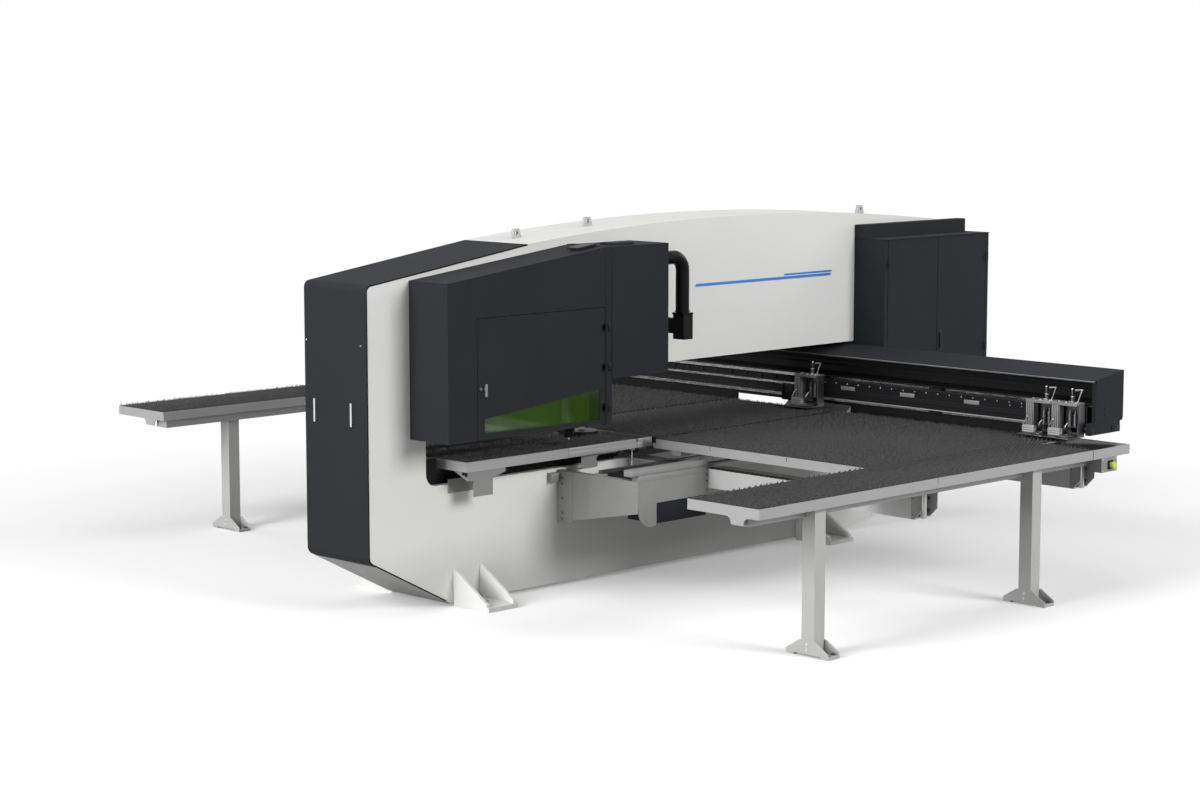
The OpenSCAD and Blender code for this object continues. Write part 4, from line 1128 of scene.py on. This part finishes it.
def clamp_bolts(c):
    x, y = c.xc + c.pivot_dx, c.pivot_y
    p = Piece()
    for dx, dy in ((0.045, -0.030), (0.045, -0.075), (0.105, -0.030), (0.122, -0.075), (-0.030, -0.050)):
        p.screw((c.xc + dx, c.back + dy, c.deck), UP, 0.0065, 0.007)
    p.ring((x, y, c.deck + 0.040), UP, 0.0085, 0.003)
    p.rod((x, y, c.deck), (x, y, c.deck + 0.010), 0.014, seg=6)
    p.rod((x, y, c.top + 0.104), (x, y, c.top + 0.112), 0.0062, 0.005, seg=16)
    p.done(c.name + "_bolts", "machined_steel", c.body)


def clamp_handles(c):
    """Bent handle with its grip on top, a lever in front and a lever with a nut on the left."""
    xc, y, deck = c.xc, c.back - 0.055, c.deck
    p = Piece()
    p.tube([(xc + 0.123, y, deck), (xc + 0.125, y, deck + 0.010),
            (xc + 0.152, y, deck + 0.080), (xc + 0.155, y, deck + 0.088)], 0.0034)
    p.rod((xc + 0.110, y, deck + 0.086), (xc + 0.160, y, deck + 0.091), 0.0052, seg=12)
    p.rod((xc + 0.106, y, deck + 0.0856), (xc + 0.112, y, deck + 0.0862), 0.0062, seg=12)
    x = xc + 0.070
    p.tube([(x, c.back - 0.058, 1.085), (x, c.back - 0.070, 1.082),
            (x, c.back - 0.114, 1.052), (x, c.back - 0.120, 1.036)], 0.0035)
    y, nut_x, nut_z = c.col_y - 0.008, xc - 0.072, 1.032
    p.tube([(xc - 0.036, c.col_y + 0.002, 1.088), (xc - 0.040, y, 1.086),
            (xc - 0.070, y, 1.038), (nut_x, y, nut_z)], 0.0035)
    p.rod((nut_x, c.col_y - 0.014, nut_z), (nut_x, c.col_y - 0.004, nut_z), 0.0058, seg=6)
    p.done(c.name + "_handles", "bright_steel", c.body)


def clamp_cylinders(c):
    y, r, top = c.back - 0.040, 0.0165, 1.126
    p = Piece()
    for dx in (0.055, 0.098):
        x = c.xc + dx
        p.rod((x, y, 1.040), (x, y, top), r, seg=24)
        p.ring((x, y, top - 0.008), UP, r, 0.003)
        p.rod((x, y, top), (x, y, 1.150), 0.0090, seg=16)
    y = c.back - 0.062
    p.tube([(c.xc + 0.092, y, c.deck), (c.xc + 0.094, y, c.deck + 0.010),
            (c.xc + 0.106, y, c.deck + 0.052)], 0.0022)
    p.box(c.xc + 0.063, c.xc + 0.077, c.back - 0.127, c.back - 0.113, 1.030, 1.046, 0.002)
    p.done(c.name + "_cylinders", "dark_steel", c.body)


def clamp_lips(c):
    """Edges and screws of the lower lip, which is fixed, and of the upper one, on the jaw."""
    screws, pitch = 6, 0.033
    p = Piece()
    p.box(c.x0, c.x1, c.tip - 0.003, c.tip + 0.010, 0.9712, 0.9785, 0.001)
    for i in range(screws):
        p.screw((c.x0 + 0.012 + i * pitch, c.tip + 0.028, 0.979), UP, 0.0045, 0.0016)
    p.done(c.name + "_lower_lip", "dark_steel", c.body)
    p = Piece()
    p.box(c.xc + 0.0405, c.xc + 0.1215, c.tip - 0.001, c.tip + 0.010, 0.9822, 0.9918, 0.001)
    for dx in (0.055, 0.081, 0.107):
        p.screw((c.xc + dx, c.tip + 0.030, 0.992), UP, 0.005, 0.003)
    p.box(c.xc + 0.060, c.xc + 0.102, c.tip + 0.060, c.tip + 0.120, 0.9915, 0.9965, 0.002)
    p.done(c.name + "_upper_lip", "dark_steel", c.jaw)


def dress_clamps():
    for c in (Clamp("clamp_a", "clamp_one", "jaw_one", 0.215),
              Clamp("clamp_b", "clamp_two", "jaw_two", 2.290),
              Clamp("clamp_c", "x_carriage", "jaw_three", 2.500)):
        clamp_ribs(c)
        clamp_block(c)
        clamp_top(c)
        clamp_bolts(c)
        clamp_handles(c)
        clamp_cylinders(c)
        clamp_lips(c)


# stage: camera, floor, light

def mask(nt):
    """1 for rays from the camera, from mirrors and through glass."""
    lp = nt.nodes.new("ShaderNodeLightPath")
    last = lp.outputs["Is Camera Ray"]
    for name in ("Is Glossy Ray", "Is Transmission Ray"):
        m = nt.nodes.new("ShaderNodeMath")
        m.operation = "MAXIMUM"
        nt.links.new(last, m.inputs[0])
        nt.links.new(lp.outputs[name], m.inputs[1])
        last = m.outputs[0]
    return last


def camera():
    """The photograph's viewpoint, fitted to straight edges of the machine."""
    cam = bpy.data.cameras.new("camera")
    cam.lens = 78.56
    cam.sensor_width = 36.0
    cam.sensor_fit = "HORIZONTAL"
    cam.clip_end = 400
    tilt, heading = 0.1269, 0.7883
    co = add("camera", cam)
    co.location = (12.7002, -12.7984, 3.4446)
    co.rotation_euler = (math.pi / 2 - tilt, 0, heading)
    bpy.context.scene.camera = co


def floor_material():
    """Pale floor with the machine's shadow, going over to white between two radii."""
    inner, outer = 4.2, 6.8
    m = bpy.data.materials.new("floor")
    nt = bare(m)
    out = nt.nodes.new("ShaderNodeOutputMaterial")
    pale = node(nt, "ShaderNodeBsdfDiffuse", Color=(0.80, 0.80, 0.80, 1))
    low = node(nt, "ShaderNodeBsdfDiffuse", Color=(0.38, 0.38, 0.38, 1))
    glow = node(nt, "ShaderNodeEmission", Strength=0.21)
    white = node(nt, "ShaderNodeEmission", Strength=1.0)
    both = nt.nodes.new("ShaderNodeAddShader")
    far = nt.nodes.new("ShaderNodeMixShader")
    mix = nt.nodes.new("ShaderNodeMixShader")
    spot = nt.nodes.new("ShaderNodeNewGeometry")
    radius = nt.nodes.new("ShaderNodeVectorMath")
    radius.operation = "LENGTH"
    nt.links.new(spot.outputs["Position"], radius.inputs[0])
    nt.links.new(span(nt, radius.outputs["Value"], 0.0, 1.0, inner, outer), far.inputs[0])
    nt.links.new(pale.outputs[0], both.inputs[0])
    nt.links.new(glow.outputs[0], both.inputs[1])
    nt.links.new(both.outputs[0], far.inputs[1])
    nt.links.new(white.outputs[0], far.inputs[2])
    nt.links.new(mask(nt), mix.inputs[0])
    nt.links.new(low.outputs[0], mix.inputs[1])
    nt.links.new(far.outputs[0], mix.inputs[2])
    nt.links.new(mix.outputs[0], out.inputs[0])
    return m


def floor():
    s = 150
    me = bpy.data.meshes.new("floor")
    me.from_pydata([(-s, -s, 0), (s, -s, 0), (s, s, 0), (-s, s, 0)], [], [(0, 1, 2, 3)])
    me.materials.append(floor_material())
    add("floor", me)


def world():
    """Soft light all round, and a white background where it is seen."""
    w = bpy.data.worlds.new("world")
    bpy.context.scene.world = w
    nt = bare(w)
    out = nt.nodes.new("ShaderNodeOutputWorld")
    soft = node(nt, "ShaderNodeBackground", Color=(1, 1, 1, 1), Strength=0.15)
    white = node(nt, "ShaderNodeBackground", Color=(1, 1, 1, 1), Strength=1.0)
    mix = nt.nodes.new("ShaderNodeMixShader")
    nt.links.new(mask(nt), mix.inputs[0])
    nt.links.new(soft.outputs[0], mix.inputs[1])
    nt.links.new(white.outputs[0], mix.inputs[2])
    nt.links.new(mix.outputs[0], out.inputs[0])


def area(name, loc, target, size, power):
    light = bpy.data.lights.new(name, "AREA")
    light.energy = power
    light.size = size
    o = add(name, light)
    o.location = loc
    o.rotation_euler = (Vector(target) - Vector(loc)).to_track_quat("-Z", "Y").to_euler()


def stage():
    camera()
    floor()
    world()
    middle = (0, 0, 1.0)
    area("front", (-1.0, -19.0, 11.0), middle, 8.0, 2850)
    area("front_low", (1.0, -18.0, 3.2), middle, 6.0, 1560)
    area("side", (19.0, 3.0, 9.0), middle, 8.0, 2980)
    area("top", (0.5, 0.5, 12.0), (0.2, 0.3, 0.5), 8.0, 230)
    area("left", (-19.0, -5.0, 9.0), middle, 8.0, 900)
    area("rear", (6.0, 19.0, 9.0), middle, 8.0, 900)
    bpy.context.scene.view_settings.view_transform = "Standard"


# the whole scene

paint_nodes()
round_edges()
brushes()
throat_trays()
corner_tray()
flap_tray()
flap_bracket()
flap_damper()
cover_trim()
plain_stripe()
anchor_bolts()
throat_painted_shade()
roof_lid()
pillar_seams()
door_hinges()
door_lock()
window()
laser_bellows()
conduit_sleeve()
handle_plate()
bracket_plates()
chip_channel()
slug_bin()
chute_and_painted_shade()
arm_cover()
arm_cheeks()
leg_bolts()
table_seams()
end_sheet()
stop_button()
dress_beam()
carriage_screws()
scale_plates()
carriage_trim()
dress_clamps()
stage()
